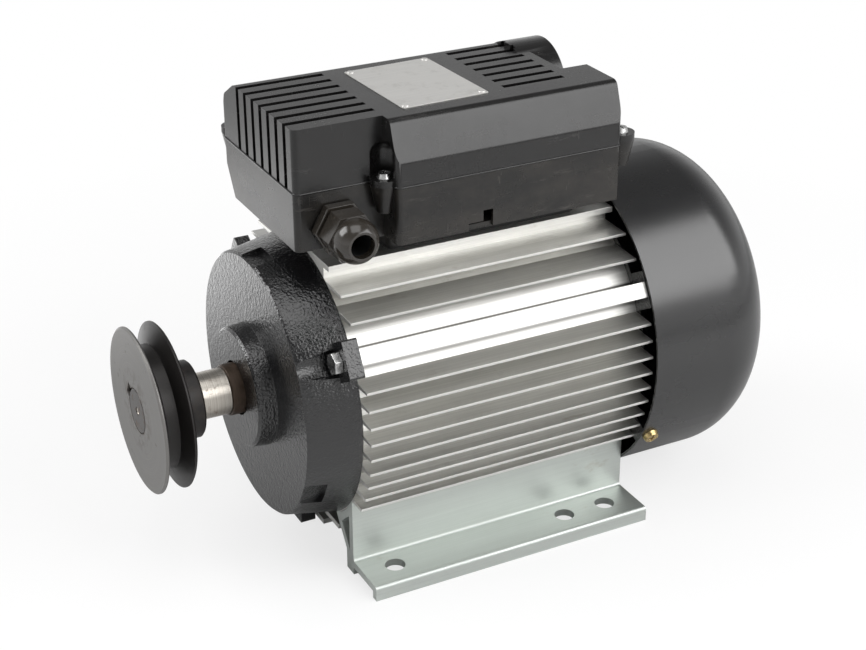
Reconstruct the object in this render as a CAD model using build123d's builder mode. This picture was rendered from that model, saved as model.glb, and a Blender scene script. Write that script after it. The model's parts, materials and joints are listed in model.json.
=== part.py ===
from build123d import *
from math import cos, radians, sin, sqrt
import os

# Foot-mounted single-phase motor with a belt pulley, in millimetres.
# The shaft lies along Y, the drive end points to -Y, and the feet stand on Z = 0.
# The origin is the centre of the foot holes, on the floor.
# Heights in the housing, the box and all it holds are measured from the shaft's centre.

os.makedirs("parts", exist_ok=True)

# Standard frame size: shaft height and foot holes
axis_height = 90.0
foot_span = 140.0
foot_pitch = 125.0
short_foot_pitch = 100.0
foot_hole_d = 10.5
hole_to_shaft_end = 106.0

# Housing extrusion
housing_length = 160.0
bore_d = 130.0
housing_wall = 5.0
fin_circle_d = 165.2
fin_root = 2.8
fin_tip = 1.3
close_fin_pitch = 8.75
close_fin_top = 24.8
close_fin_count = 9
upper_fin_levels = (54.3, 64.4)
lower_shelves = ((-71.2, 40.0), (-79.6, 20.5))
tie_count = 3
tie_start = 30.0
tie_rib_width = 8.1
tie_rib_step = 0.5
tie_circle_rise = 5.5
pad_width = 76.6
pad_level = 74.8
pad_lip = 3.0
pad_block_width = 64.0
lead_hole_r = 9.0
lead_hole_station = -20.0

# Feet
foot_edge = 84.3
foot_web_x = 57.7
foot_wall = 4.0
foot_flange_top = 8.0
foot_web_drop = 46.6
foot_hollow_base = (53.4, 12.2)
foot_hollow_drops = ((44.2, 65.4), (50.0, 60.0), (53.4, 57.4))
foot_leg_base = (49.6, 11.4)
foot_leg_drop = (38.9, 64.4)
foot_heel_drop = (36.0, 59.0)
foot_edge_r = 1.8
rail_angle = 50.0
rail_height = 4.0
rail_base_width = 7.0
rail_top_width = 11.0
rail_clearance = 0.15

# End shields
shield_rim_r = 73.6
shield_face_r = 68.7
drive_shield_depth = 26.9
fan_shield_depth = 20.0
shield_wall = 6.0
shield_cavity_r = 61.5
spigot_length = 6.0
spigot_clearance = 0.05
boss_r = 31.0
boss_height = 9.6
lug_thickness = 8.0
lug_width = 19.5
lug_margin = 9.0
edge_break = 1.2
head_pocket_r = 8.0
flat_length = 11.0
flat_width = 17.0
flat_depth = 1.3
seal_hole_r = 14.2
seal_lip = 3.0
seal_length = 6.0
seal_outer_r = 19.0
spring_room = 2.0
end_wall = 4.0

# Bolts through the shield lugs
tie_bolt_d = 6.0
tie_bolt_grip = 18.0
tie_head_flats = 10.0
tie_head_height = 4.0
thread_clearance = 0.1

# Bearings: bore, outside diameter, width, balls, ball diameter
drive_bearing = (25.0, 52.0, 15.0, 8, 7.9)
fan_bearing = (20.0, 47.0, 14.0, 8, 7.1)
race_wall = 4.2
running_clearance = 0.05
cage_wall = 1.8

# Shaft
drive_shaft_d = 24.0
sleeve_d = 26.4
sleeve_end = -123.0
mid_shaft_d = 30.0
fan_shaft_d = 17.0
keyway_angle = 150.0
key_width = 8.0
key_height = 7.0
key_depth = 4.0
key_length = 26.0

# Pulley
set_screw_r = 3.0
pulley_d = 84.8
pulley_face = 16.0
groove_width = 12.8
groove_floor = 6.0
groove_depth = 10.6
hub_d = 39.8
hub_length = 13.1

# Stator and rotor
end_room = 30.0
stator_bore_d = 80.0
air_gap = 0.4
slot_count = 24
slot_width = 5.0
slot_inner_r = 43.0
slot_outer_r = 54.0
slot_mouth = 2.4
winding_clearance = 0.3
winding_overhang = 20.0
winding_inner_r = 43.5
winding_outer_r = 58.0
end_ring_length = 7.0
end_ring_inner_r = 24.0
end_ring_outer_r = 39.0
bar_count = 16
bar_size = (6.0, 3.2)
bar_circle_r = 34.0
ring_fin_height = 5.0
ring_fin_count = 8

# Fan and cowl
cowl_gap = 1.0
cowl_joint = 0.1
cowl_room = 19.0
cowl_corner = 36.4
cowl_sheet = 1.2
grille_rings = (12.0, 20.0, 28.0, 36.0)
grille_slot = 4.6
grille_spokes = 6
grille_spoke_width = 5.0
fan_r = 73.0
fan_hub_r = 16.0
fan_blades = 8
fan_blade_thickness = 2.4
fan_disc_thickness = 2.5
fan_disc_cone = 14.0
fan_width = 26.0
fan_gap = 4.0
shaft_tail_length = 5.0
circlip_room = 1.2
cowl_screw_offset = 6.0
cowl_screw_d = 5.0
cowl_screw_length = 10.0
cowl_screw_head_r = 4.4
cowl_screw_head_height = 2.6
cowl_boss_width = 12.0

# Terminal box: plan, cross-section, slots and ears, with heights above the shaft
box_right = 53.0
box_left = -52.0
box_front = -96.0
box_rear = 74.0
box_step = -50.3
block_right = 38.5
box_roof = 146.0
box_eave = 126.0
box_parting = 114.0
box_bottom = 85.0
box_floor = 2.0
box_wall = 3.0
front_wall = 7.0
box_edge_r = 4.0
box_corner_r = 3.0
smallest_r = 0.4
roof_right = 46.0
roof_left = -35.0
left_shoulder = (-48.0, 138.0)
left_taper = (105.0, -40.0)
gasket_thickness = 1.5
pedestal_half_width = 34.0
pedestal_front = -46.0
pedestal_rear = 60.0
slot_first_x = -29.4
slot_pitch = 9.7
vent_count = 7
vent_width = 3.6
vent_depth = 4.0
front_vent_end = -50.3
vent_bend_r = 4.0
rear_vents = (19.3, 53.4)
dome_place = (-25.0, 123.5)
dome_r = 25.0
dome_start = 52.0
valley_right = 18.0
valley_start = 59.0
valley_level = 125.0
notch = (-12.0, 2.0, 89.0)
notch_slot = (-4.0, 94.5)
wall_step = 1.2
ledge_level = 111.0
ear_places = ((43.0, -52.0), (42.6, 80.0), (-56.5, -88.0), (-42.6, 80.0))
ear_r = 7.0
ear_thickness = 3.2
ear_recess_r = 7.0
ear_recess_top = 135.0
ear_boss_depth = 14.0
cover_screw_r = 2.0
cover_screw_head_r = 3.8
cover_screw_head_height = 2.4
base_screw_places = ((28.0, -38.0), (28.0, 52.0), (-28.0, -38.0), (-28.0, 52.0))
base_screw_r = 2.5
base_screw_length = 19.0
base_screw_hole = 9.0
earth_screw_place = (20.0, 10.0)
seal_inset = 0.9
seal_width = 1.2
seal_height = 1.0

# Capacitors: centre, radius, front and rear
start_capacitor_size = (-25.0, 118.0, 20.0, -30.0, 68.0)
run_capacitor_size = (22.0, 115.0, 17.5, -30.0, 54.0)
cradle_stations = (-20.0, 44.0)
cradle_thickness = 4.0
cradle_top = 106.0
strap_stations = (-2.0, 28.0)
strap_width = 10.0
strap_thickness = 1.2
strap_post_x = -0.4
strap_post_width = 6.6
strap_span = 26.0
strap_rise = 22.0
strap_bridge = 8.4
blade_size = (0.8, 6.3, 9.0)

# Terminal board
board_size = (56.0, 24.0, 4.0)
board_place = (-8.0, -74.0)
board_level = 92.0
board_foot = 10.0
stud_pitch = (18.0, 12.0)
stud_r = 2.0
stud_height = 12.0
stud_nut_flats = 7.0
link_thickness = 1.0

# Rating plate, left blank
plate_size = (62.0, 47.0, 0.5)
plate_centre = (3.5, -15.5)
plate_turn = 2.0
plate_pin_r = 1.2
plate_pin_inset = 2.5

# Cable gland
gland_station = -75.0
gland_height = 95.5
gland_thread_r = 8.0
gland_flats = 24.0
gland_bore_r = 6.0
gland_nut_start = 46.0
gland_end = 67.5
gland_tail = 10.0
gland_tube_r = 9.0
gland_nut_r = 10.8
gland_mouth_r = 7.2
dome_bulge = 1.6
nut_shoulder = 57.0
gland_boss_width = 24.0
gland_boss_thickness = 7.0
gland_boss_top = 109.0

# Governor and switch
governor_gap = 1.0
governor_plate_r = 24.0
governor_plate_thickness = 2.0
governor_shaft_r = 12.5
sleeve_offset = 13.0
sleeve_length = 12.5
sleeve_groove_r = 15.0
sleeve_flange_r = 19.0
weight_pivot_r = 25.0
weight_pivot_offset = 17.0
weight_outer_r = 35.0
weight_length = 14.0
weight_half_width = 12.0
weight_step = 4.5
finger_width = 3.0
ear_plate = 2.0
ear_gap = 8.0
pivot_pin_r = 1.5
switch_post_length = 3.5
switch_thickness = 2.0
switch_plate_r = 40.0
switch_post_r = 35.0
switch_screw_r = 1.5
switch_screw_depth = 4.0

# Places worked out from the sizes above
front_face = -housing_length / 2
rear_face = housing_length / 2
shaft_end = -foot_pitch / 2 - hole_to_shaft_end
core_r = bore_d / 2 + housing_wall
core_length = housing_length - 2 * end_room
tie_circle_r = core_r + tie_circle_rise
lug_reach = tie_circle_r + lug_margin
tie_rib_reach = lug_reach - tie_rib_step
drive_shield_face = front_face - drive_shield_depth
boss_face = drive_shield_face - boss_height
fan_shield_face = rear_face + fan_shield_depth
drive_bearing_end = boss_face + seal_lip + seal_length
drive_bearing_start = drive_bearing_end + drive_bearing[2]
fan_shield_inside = fan_shield_face - shield_wall
fan_bearing_start = fan_shield_inside
fan_bearing_end = fan_bearing_start + fan_bearing[2]
spring_end = fan_bearing_end + spring_room
fan_boss_end = spring_end + end_wall
fan_station = fan_boss_end + fan_gap
fan_end = fan_station + fan_width
shaft_tail = fan_end + shaft_tail_length
governor_station = core_length / 2 + end_ring_length + ring_fin_height + governor_gap
sleeve_station = governor_station + sleeve_offset
weight_pivot_station = governor_station + weight_pivot_offset
switch_station = fan_shield_inside - switch_post_length
cowl_start = rear_face + cowl_joint
cowl_end = fan_end + cowl_room
cowl_r = lug_reach + cowl_gap + cowl_sheet
cowl_screw_station = rear_face + cowl_screw_offset
cowl_inner_r = cowl_r - cowl_sheet
cowl_boss_height = cowl_inner_r - shield_face_r + 6
cowl_boss_middle_r = shield_face_r - 4 + cowl_boss_height / 2
cowl_screw_angles = [tie_start - 180 / tie_count + 360 / tie_count * i for i in range(tie_count)]
shaft_line = Axis((0, 0, axis_height), (0, 1, 0))
turning_plane = Plane(origin=(0, 0, axis_height), x_dir=(0, 1, 0), z_dir=(1, 0, 0))


def section(station):
    """Plane across the shaft at a station, facing the drive end."""
    return Plane(origin=(0, station, axis_height), x_dir=(1, 0, 0), z_dir=(0, -1, 0))


def level_plane(height):
    """Level plane at a height above the shaft, facing up."""
    return Plane.XY.offset(axis_height + height)


def outward_plane(angle, station, radius):
    """Plane that faces away from the shaft at an angle, a station and a radius."""
    outward = (cos(radians(angle)), 0, sin(radians(angle)))
    origin = (radius * outward[0], station, axis_height + radius * outward[2])
    return Plane(origin=origin, x_dir=(0, 1, 0), z_dir=outward)


def keep(builder, label):
    """Label a finished piece and write it as one file."""
    builder.part.label = label
    export_step(builder.part, f"parts/{label}.step")


def turn(outline, mode=Mode.ADD):
    """Revolve an outline of (station, radius) points about the shaft."""
    with BuildSketch(turning_plane) as profile:
        Polygon(*outline, align=None)
    revolve(profile.sketch, axis=shaft_line, mode=mode)


def tube(start, end, inner_r, outer_r, mode=Mode.ADD):
    """A ring about the shaft between two stations."""
    turn([(start, inner_r), (end, inner_r), (end, outer_r), (start, outer_r)], mode)


def tie_holes(start, end, radius, mode=Mode.SUBTRACT):
    """Round columns on the tie bolt circle between two stations."""
    with BuildSketch(section(end)) as holes:
        with PolarLocations(tie_circle_r, tie_count, start_angle=tie_start):
            Circle(radius)
    extrude(holes.sketch, amount=end - start, mode=mode)


def fin_outline(level, side):
    """A flat fin that runs out from the core to the circle of the fin tips."""
    root = sqrt(core_r**2 - level**2) - 1
    tip = sqrt((fin_circle_d / 2) ** 2 - level**2)
    return [
        (side * root, level - fin_root / 2),
        (side * tip, level - fin_tip / 2),
        (side * tip, level + fin_tip / 2),
        (side * root, level + fin_root / 2),
    ]


def rail_outline(slack=0.0):
    """Dovetail rail, as (outward, along) points from the core's surface."""
    base = rail_base_width / 2 + slack
    top = rail_top_width / 2 + slack
    return [(-1, -base), (rail_height + slack, -top), (rail_height + slack, top), (-1, base)]


# Housing: finned tube with a dovetail rail for each foot
close_fin_levels = [close_fin_top - close_fin_pitch * i for i in range(close_fin_count)]
with BuildPart() as housing:
    with BuildSketch(section(rear_face)):
        Circle(core_r)
        for level in [*close_fin_levels, *upper_fin_levels]:
            for side in (-1, 1):
                Polygon(*fin_outline(level, side), align=None)
        with PolarLocations((core_r + tie_rib_reach) / 2 - 1, tie_count, start_angle=tie_start):
            Rectangle(tie_rib_reach - core_r + 2, tie_rib_width)
        with Locations((0, (core_r + pad_level) / 2 - 8)):
            Rectangle(pad_block_width, pad_level - core_r + 16)
        with Locations((0, pad_level - pad_lip / 2)):
            Rectangle(pad_width, pad_lip)
        for level, reach in lower_shelves:
            with Locations((0, level)):
                Rectangle(2 * reach, fin_root)
        with PolarLocations(core_r, 2, start_angle=-180 + rail_angle, angular_range=180 - 2 * rail_angle,
                            endpoint=True):
            Polygon(*rail_outline(), align=None)
        Circle(bore_d / 2, mode=Mode.SUBTRACT)
    extrude(amount=housing_length)
    tie_holes(front_face, front_face + tie_bolt_grip, tie_bolt_d / 2 + thread_clearance)
    tie_holes(rear_face - tie_bolt_grip, rear_face, tie_bolt_d / 2 + thread_clearance)
    with BuildSketch(level_plane(0)):
        with Locations((0, lead_hole_station)):
            Circle(lead_hole_r)
    extrude(amount=pad_level + 1, mode=Mode.SUBTRACT)
    with BuildSketch(level_plane(pad_level)):
        with Locations(*base_screw_places):
            Circle(base_screw_r + thread_clearance)
    extrude(amount=-base_screw_hole, mode=Mode.SUBTRACT)
keep(housing, "housing")

def dropped(*points):
    """Points of a foot given by their drop below the shaft, as heights above the floor."""
    return [(x, axis_height - drop) for x, drop in points]


# Feet: extrusions that slide on along the rails and are held between the shields
foot_hole_stations = (-foot_pitch / 2, short_foot_pitch - foot_pitch / 2, foot_pitch / 2)
with BuildPart() as foot_right:
    with BuildSketch(Plane(origin=(0, rear_face, 0), x_dir=(1, 0, 0), z_dir=(0, -1, 0))):
        with BuildLine():
            FilletPolyline(
                (foot_web_x - foot_wall, axis_height - foot_web_drop),
                (foot_web_x, axis_height - foot_web_drop),
                (foot_web_x, foot_flange_top),
                (foot_edge, foot_flange_top),
                (foot_edge, 0),
                radius=foot_edge_r,
            )
            Polyline(
                (foot_edge, 0),
                (foot_edge - foot_wall, 0),
                (foot_edge - foot_wall, foot_flange_top - foot_wall),
                (foot_web_x, foot_flange_top - foot_wall),
                (foot_web_x, 0),
                (foot_leg_base[0], 0),
                foot_leg_base,
                *dropped(foot_leg_drop, foot_heel_drop),
                (foot_web_x - foot_wall, axis_height - foot_web_drop),
            )
        make_face()
        with Locations((0, axis_height)):
            Circle(core_r, mode=Mode.SUBTRACT)
        Polygon(foot_hollow_base, *dropped(*foot_hollow_drops), align=None, mode=Mode.SUBTRACT)
        with Locations((0, axis_height)):
            with PolarLocations(core_r, 1, start_angle=-rail_angle):
                Polygon(*rail_outline(rail_clearance), align=None, mode=Mode.SUBTRACT)
    extrude(amount=housing_length)
    with BuildSketch(Plane.XY):
        with Locations(*[(foot_span / 2, y) for y in foot_hole_stations]):
            Circle(foot_hole_d / 2)
    extrude(amount=foot_flange_top + 1, mode=Mode.SUBTRACT)
keep(foot_right, "foot_right")

with BuildPart() as foot_left:
    mirror(foot_right.part, about=Plane.YZ)
keep(foot_left, "foot_left")

# Drive end shield: thick casting with a boss for the bearing and three bolt lugs
drive_bearing_outer_r = drive_bearing[1] / 2
with BuildPart() as drive_end_shield:
    turn(
        [
            (front_face + spigot_length, shield_cavity_r),
            (front_face + spigot_length, bore_d / 2 - spigot_clearance),
            (front_face, bore_d / 2 - spigot_clearance),
            (front_face, shield_rim_r),
            (drive_shield_face + edge_break, shield_face_r),
            (drive_shield_face, shield_face_r - edge_break),
            (drive_shield_face, boss_r + 1),
            (boss_face + edge_break, boss_r),
            (boss_face, boss_r - edge_break),
            (boss_face, seal_hole_r),
            (boss_face + seal_lip, seal_hole_r),
            (boss_face + seal_lip, seal_outer_r),
            (drive_bearing_end, seal_outer_r),
            (drive_bearing_end, drive_bearing_outer_r),
            (drive_bearing_start, drive_bearing_outer_r),
            (drive_bearing_start, drive_bearing_outer_r + shield_wall),
            (drive_shield_face + shield_wall, drive_bearing_outer_r + shield_wall),
            (drive_shield_face + shield_wall, shield_cavity_r - 2),
        ]
    )
    with BuildSketch(section(front_face)):
        with PolarLocations((shield_rim_r + lug_reach) / 2 - 2, tie_count, start_angle=tie_start):
            RectangleRounded(lug_reach - shield_rim_r + 4, lug_width, edge_break)
    extrude(amount=lug_thickness)
    tie_holes(front_face - drive_shield_depth - 1, front_face - lug_thickness, head_pocket_r)
    tie_holes(front_face - lug_thickness, front_face, tie_bolt_d / 2 + thread_clearance)
    with BuildSketch(section(drive_shield_face + flat_length)):
        with PolarLocations(lug_reach - flat_depth, tie_count, start_angle=tie_start - 180 / tie_count):
            Rectangle(2 * (lug_reach - shield_face_r), flat_width)
    extrude(amount=flat_length, mode=Mode.SUBTRACT)
keep(drive_end_shield, "drive_end_shield")

# Fan end shield: bolts to the housing the same way and carries the cowl's screws
fan_bearing_outer_r = fan_bearing[1] / 2
with BuildPart() as fan_end_shield:
    turn(
        [
            (rear_face - spigot_length, shield_cavity_r),
            (rear_face - spigot_length, bore_d / 2 - spigot_clearance),
            (rear_face, bore_d / 2 - spigot_clearance),
            (rear_face, shield_rim_r),
            (fan_shield_face - edge_break, shield_face_r),
            (fan_shield_face, shield_face_r - edge_break),
            (fan_shield_face, fan_bearing_outer_r + shield_wall + 1),
            (fan_boss_end, fan_bearing_outer_r + shield_wall),
            (fan_boss_end, fan_shaft_d / 2 + 1),
            (spring_end, fan_shaft_d / 2 + 1),
            (spring_end, fan_bearing_outer_r),
            (fan_bearing_start, fan_bearing_outer_r),
            (fan_bearing_start, fan_bearing_outer_r + shield_wall),
            (fan_shield_inside, fan_bearing_outer_r + shield_wall),
            (fan_shield_inside, shield_cavity_r - 2),
        ]
    )
    with BuildSketch(section(rear_face + lug_thickness)):
        with PolarLocations((shield_rim_r + lug_reach) / 2 - 2, tie_count, start_angle=tie_start):
            RectangleRounded(lug_reach - shield_rim_r + 4, lug_width, edge_break)
    extrude(amount=lug_thickness)
    tie_holes(rear_face, rear_face + lug_thickness, tie_bolt_d / 2 + thread_clearance)
    tie_holes(rear_face + lug_thickness, fan_shield_face + 1, head_pocket_r)
    with BuildSketch(section(cowl_screw_station + cowl_boss_width / 2)):
        with PolarLocations(cowl_boss_middle_r, tie_count, start_angle=cowl_screw_angles[0]):
            Rectangle(cowl_boss_height, cowl_boss_width)
        Circle(cowl_inner_r, mode=Mode.INTERSECT)
    extrude(amount=cowl_boss_width)
    for angle in cowl_screw_angles:
        with BuildSketch(outward_plane(angle, cowl_screw_station, cowl_inner_r - cowl_screw_length)):
            Circle(cowl_screw_d / 2 + thread_clearance)
        extrude(amount=cowl_screw_length, mode=Mode.SUBTRACT)
    with BuildSketch(section(fan_shield_inside + switch_screw_depth)):
        with PolarLocations(switch_post_r, tie_count, start_angle=tie_start):
            Circle(switch_screw_r + thread_clearance)
    extrude(amount=switch_screw_depth, mode=Mode.SUBTRACT)
keep(fan_end_shield, "fan_end_shield")

# Bolts that hold both shields to the housing
for label, head_station, direction in (
    ("drive_shield_bolts", front_face - lug_thickness, -1),
    ("fan_shield_bolts", rear_face + lug_thickness, 1),
):
    with BuildPart() as tie_bolts:
        with BuildSketch(section(head_station)):
            with PolarLocations(tie_circle_r, tie_count, start_angle=tie_start):
                RegularPolygon(tie_head_flats / 2, 6, major_radius=False)
        extrude(amount=-direction * tie_head_height)
        with BuildSketch(section(head_station)):
            with PolarLocations(tie_circle_r, tie_count, start_angle=tie_start):
                Circle(tie_bolt_d / 2)
        extrude(amount=direction * (lug_thickness + tie_bolt_grip - 2))
    keep(tie_bolts, label)


def build_bearing(name, size, start):
    """Deep groove ball bearing: two races, a ring of balls and their cage."""
    bore, outside, width, balls, ball_d = size
    middle = start + width / 2
    pitch_r = (bore + outside) / 4
    groove_r = ball_d / 2 + running_clearance
    races = (
        ("outer_race", outside / 2 - race_wall, outside / 2),
        ("inner_race", bore / 2, bore / 2 + race_wall),
    )
    for kind, inner_r, outer_r in races:
        with BuildPart() as race:
            tube(start, start + width, inner_r, outer_r)
            with BuildSketch(turning_plane) as groove:
                with Locations((middle, pitch_r)):
                    Circle(groove_r)
            revolve(groove.sketch, axis=shaft_line, mode=Mode.SUBTRACT)
        keep(race, f"{name}_{kind}")
    with BuildPart() as ball_set:
        with Locations(section(middle)):
            with PolarLocations(pitch_r, balls):
                Sphere(ball_d / 2)
    keep(ball_set, f"{name}_balls")
    with BuildPart() as cage:
        tube(middle - ball_d / 2 - 1, middle + ball_d / 4, pitch_r - cage_wall / 2, pitch_r + cage_wall / 2)
        with BuildSketch(section(middle + ball_d)) as pockets:
            with PolarLocations(pitch_r, balls):
                Circle(ball_d / 2 + running_clearance)
        extrude(pockets.sketch, amount=ball_d * 1.5, mode=Mode.SUBTRACT)
    keep(cage, f"{name}_cage")


build_bearing("drive_bearing", drive_bearing, drive_bearing_end)
build_bearing("fan_bearing", fan_bearing, fan_bearing_start)

# Lip seal behind the boss, and the waved spring that loads the fan end bearing
with BuildPart() as shaft_seal:
    turn(
        [
            (boss_face + seal_lip, seal_outer_r - spigot_clearance),
            (boss_face + seal_lip, seal_outer_r - 2),
            (boss_face + seal_lip + 3, sleeve_d / 2 + running_clearance),
            (boss_face + seal_lip + 4, sleeve_d / 2 + running_clearance),
            (drive_bearing_end, seal_outer_r - 2),
            (drive_bearing_end, seal_outer_r - spigot_clearance),
        ]
    )
keep(shaft_seal, "shaft_seal")

with BuildPart() as wave_spring:
    tube(fan_bearing_end, spring_end, fan_bearing_outer_r - 4, fan_bearing_outer_r - 0.3)
keep(wave_spring, "wave_spring")

# Stator: slotted core with the winding through its slots
slot_step = 360 / slot_count
with BuildPart() as stator_core:
    with BuildSketch(section(core_length / 2)):
        Circle(bore_d / 2 - spigot_clearance)
        Circle(stator_bore_d / 2, mode=Mode.SUBTRACT)
        with PolarLocations((slot_inner_r + slot_outer_r) / 2, slot_count):
            Rectangle(slot_outer_r - slot_inner_r, slot_width, mode=Mode.SUBTRACT)
        with PolarLocations(stator_bore_d / 2 + 1, slot_count):
            Rectangle(slot_inner_r - stator_bore_d / 2 + 3, slot_mouth, mode=Mode.SUBTRACT)
    extrude(amount=core_length)
keep(stator_core, "stator_core")

winding_end = core_length / 2 + winding_overhang
with BuildPart() as stator_windings:
    for side in (-1, 1):
        inner_face = side * (core_length / 2 + 1)
        outer_face = side * winding_end
        shoulder = side * (winding_end - 4)
        turn(
            [
                (inner_face, winding_inner_r),
                (shoulder, winding_inner_r + 1),
                (outer_face, winding_inner_r + 5),
                (outer_face, winding_outer_r - 5),
                (shoulder, winding_outer_r),
                (inner_face, winding_outer_r - 3),
            ]
        )
    with BuildSketch(section(core_length / 2 + 2)):
        with PolarLocations((slot_inner_r + slot_outer_r) / 2 + 0.2, slot_count):
            Rectangle(slot_outer_r - slot_inner_r - 1, slot_width - 2 * winding_clearance)
    extrude(amount=core_length + 4)
keep(stator_windings, "stator_windings")

# Shaft: turned steel, stepped for the bearings, rotor, governor and fan
drive_shaft_r = drive_shaft_d / 2
fan_shaft_r = fan_shaft_d / 2
key_middle = shaft_end + 2 + key_length / 2
key_floor_r = drive_shaft_r - key_depth
with BuildPart() as shaft:
    turn(
        [
            (shaft_end, 0),
            (shaft_end, drive_shaft_r - 1),
            (shaft_end + 1, drive_shaft_r),
            (drive_bearing_end, drive_shaft_r),
            (drive_bearing_end, drive_bearing[0] / 2),
            (drive_bearing_start, drive_bearing[0] / 2),
            (drive_bearing_start, mid_shaft_d / 2),
            (governor_station - 2, mid_shaft_d / 2),
            (governor_station - 2, governor_shaft_r),
            (fan_bearing_start, governor_shaft_r),
            (fan_bearing_start, fan_bearing[0] / 2),
            (fan_bearing_end, fan_bearing[0] / 2),
            (fan_bearing_end, fan_shaft_r),
            (shaft_tail - 1, fan_shaft_r),
            (shaft_tail, fan_shaft_r - 1),
            (shaft_tail, 0),
        ]
    )
    turn([(shaft_end - 1, 0), (shaft_end - 1, 3), (shaft_end + 3, 0)], Mode.SUBTRACT)
    with BuildSketch(outward_plane(keyway_angle, key_middle, key_floor_r)):
        SlotOverall(key_length, key_width)
    extrude(amount=key_depth + 2, mode=Mode.SUBTRACT)
    tube(fan_end, fan_end + circlip_room, fan_shaft_r - 0.6, fan_shaft_r + 1, Mode.SUBTRACT)
keep(shaft, "shaft")

with BuildPart() as shaft_key:
    with BuildSketch(outward_plane(keyway_angle, key_middle, key_floor_r)):
        SlotOverall(key_length, key_width)
    extrude(amount=key_height)
keep(shaft_key, "shaft_key")

with BuildPart() as wear_sleeve:
    tube(sleeve_end, drive_bearing_end, drive_shaft_r, sleeve_d / 2)
    chamfer(wear_sleeve.edges().group_by(Axis.Y)[0].sort_by(SortBy.RADIUS)[-1], 0.6)
keep(wear_sleeve, "wear_sleeve")

# Pulley: one belt groove and a hub that reaches back along the shaft
pulley_r = pulley_d / 2
pulley_back = shaft_end + pulley_face
hub_end = pulley_back + hub_length
groove_middle = shaft_end + pulley_face / 2
set_screw_station = pulley_back + hub_length / 2
with BuildPart() as pulley:
    turn(
        [
            (shaft_end, drive_shaft_r),
            (shaft_end, pulley_r - 1),
            (shaft_end + 0.8, pulley_r),
            (groove_middle - groove_width / 2, pulley_r),
            (groove_middle - groove_floor / 2, pulley_r - groove_depth),
            (groove_middle + groove_floor / 2, pulley_r - groove_depth),
            (groove_middle + groove_width / 2, pulley_r),
            (pulley_back - 0.8, pulley_r),
            (pulley_back, pulley_r - 1),
            (pulley_back, hub_d / 2),
            (hub_end - 1, hub_d / 2),
            (hub_end, hub_d / 2 - 1),
            (hub_end, drive_shaft_r),
        ]
    )
    with BuildSketch(outward_plane(keyway_angle, (shaft_end + hub_end) / 2, 0)):
        Rectangle(hub_end - shaft_end, key_width)
    extrude(amount=key_floor_r + key_height + 0.2, mode=Mode.SUBTRACT)
    with BuildSketch(outward_plane(keyway_angle, set_screw_station, 0)):
        Circle(set_screw_r)
    extrude(amount=hub_d, mode=Mode.SUBTRACT)
keep(pulley, "pulley")

with BuildPart() as pulley_set_screw:
    with BuildSketch(outward_plane(keyway_angle, set_screw_station, key_floor_r + key_height)):
        Circle(set_screw_r)
    extrude(amount=hub_d / 2 - key_floor_r - key_height - 1)
    with BuildSketch(outward_plane(keyway_angle, set_screw_station, hub_d / 2 - 3)):
        RegularPolygon(set_screw_r / 2, 6, major_radius=False)
    extrude(amount=3, mode=Mode.SUBTRACT)
keep(pulley_set_screw, "pulley_set_screw")

# Rotor: laminated core with cast bars, end rings and stirring fins
with BuildPart() as rotor_core:
    with BuildSketch(section(core_length / 2)):
        Circle(stator_bore_d / 2 - air_gap)
        Circle(mid_shaft_d / 2, mode=Mode.SUBTRACT)
        with PolarLocations(bar_circle_r, bar_count):
            Rectangle(*bar_size, mode=Mode.SUBTRACT)
    extrude(amount=core_length)
keep(rotor_core, "rotor_core")

with BuildPart() as rotor_cage:
    with BuildSketch(section(core_length / 2)):
        with PolarLocations(bar_circle_r, bar_count):
            Rectangle(*bar_size)
    extrude(amount=core_length)
    for side in (-1, 1):
        ring_start = side * core_length / 2
        ring_end = side * (core_length / 2 + end_ring_length)
        tube(min(ring_start, ring_end), max(ring_start, ring_end), end_ring_inner_r, end_ring_outer_r)
        with BuildSketch(section(ring_end)):
            with PolarLocations((end_ring_inner_r + end_ring_outer_r) / 2 + 1, ring_fin_count):
                Rectangle(end_ring_outer_r - end_ring_inner_r - 4, 3)
        extrude(amount=-side * ring_fin_height)
keep(rotor_cage, "rotor_cage")

# Cooling fan: straight blades on a thin disc, to blow the same way for both turns
with BuildPart() as cooling_fan:
    turn(
        [
            (fan_station, fan_shaft_r),
            (fan_station, fan_r),
            (fan_station + 1, fan_r),
            (fan_station + fan_disc_thickness, fan_hub_r + fan_disc_cone),
            (fan_station + fan_disc_thickness, fan_hub_r),
            (fan_end, fan_hub_r - 1),
            (fan_end, fan_shaft_r),
        ]
    )
    with BuildSketch(section(fan_end - 2)):
        with PolarLocations((fan_r + fan_hub_r) / 2 - 1, fan_blades):
            Rectangle(fan_r - fan_hub_r + 1, fan_blade_thickness)
    extrude(amount=fan_width - 3)
keep(cooling_fan, "cooling_fan")

with BuildPart() as fan_circlip:
    tube(fan_end, fan_end + circlip_room, fan_shaft_r - 0.6, fan_shaft_r + 2.4)
    with BuildSketch(section(fan_end + circlip_room)):
        with Locations((0, fan_shaft_r)):
            Rectangle(3, 8)
    extrude(amount=circlip_room, mode=Mode.SUBTRACT)
keep(fan_circlip, "fan_circlip")

# Governor: two weights swing out at speed and pull the sleeve off the start switch
with BuildPart() as governor_plate:
    tube(governor_station, governor_station + governor_plate_thickness, governor_shaft_r, governor_plate_r)
    for side in (-1, 1):
        for ear in (-1, 1):
            with BuildSketch(section(weight_pivot_station + 3)):
                with Locations((ear * (ear_gap + ear_plate) / 2, side * (weight_pivot_r - 0.5))):
                    Rectangle(ear_plate, 7)
            extrude(amount=weight_pivot_station + 3 - governor_station)
    with BuildSketch(turning_plane):
        with Locations((weight_pivot_station, weight_pivot_r), (weight_pivot_station, -weight_pivot_r)):
            Circle(pivot_pin_r)
    extrude(amount=ear_gap, both=True, mode=Mode.SUBTRACT)
keep(governor_plate, "governor_plate")

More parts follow.
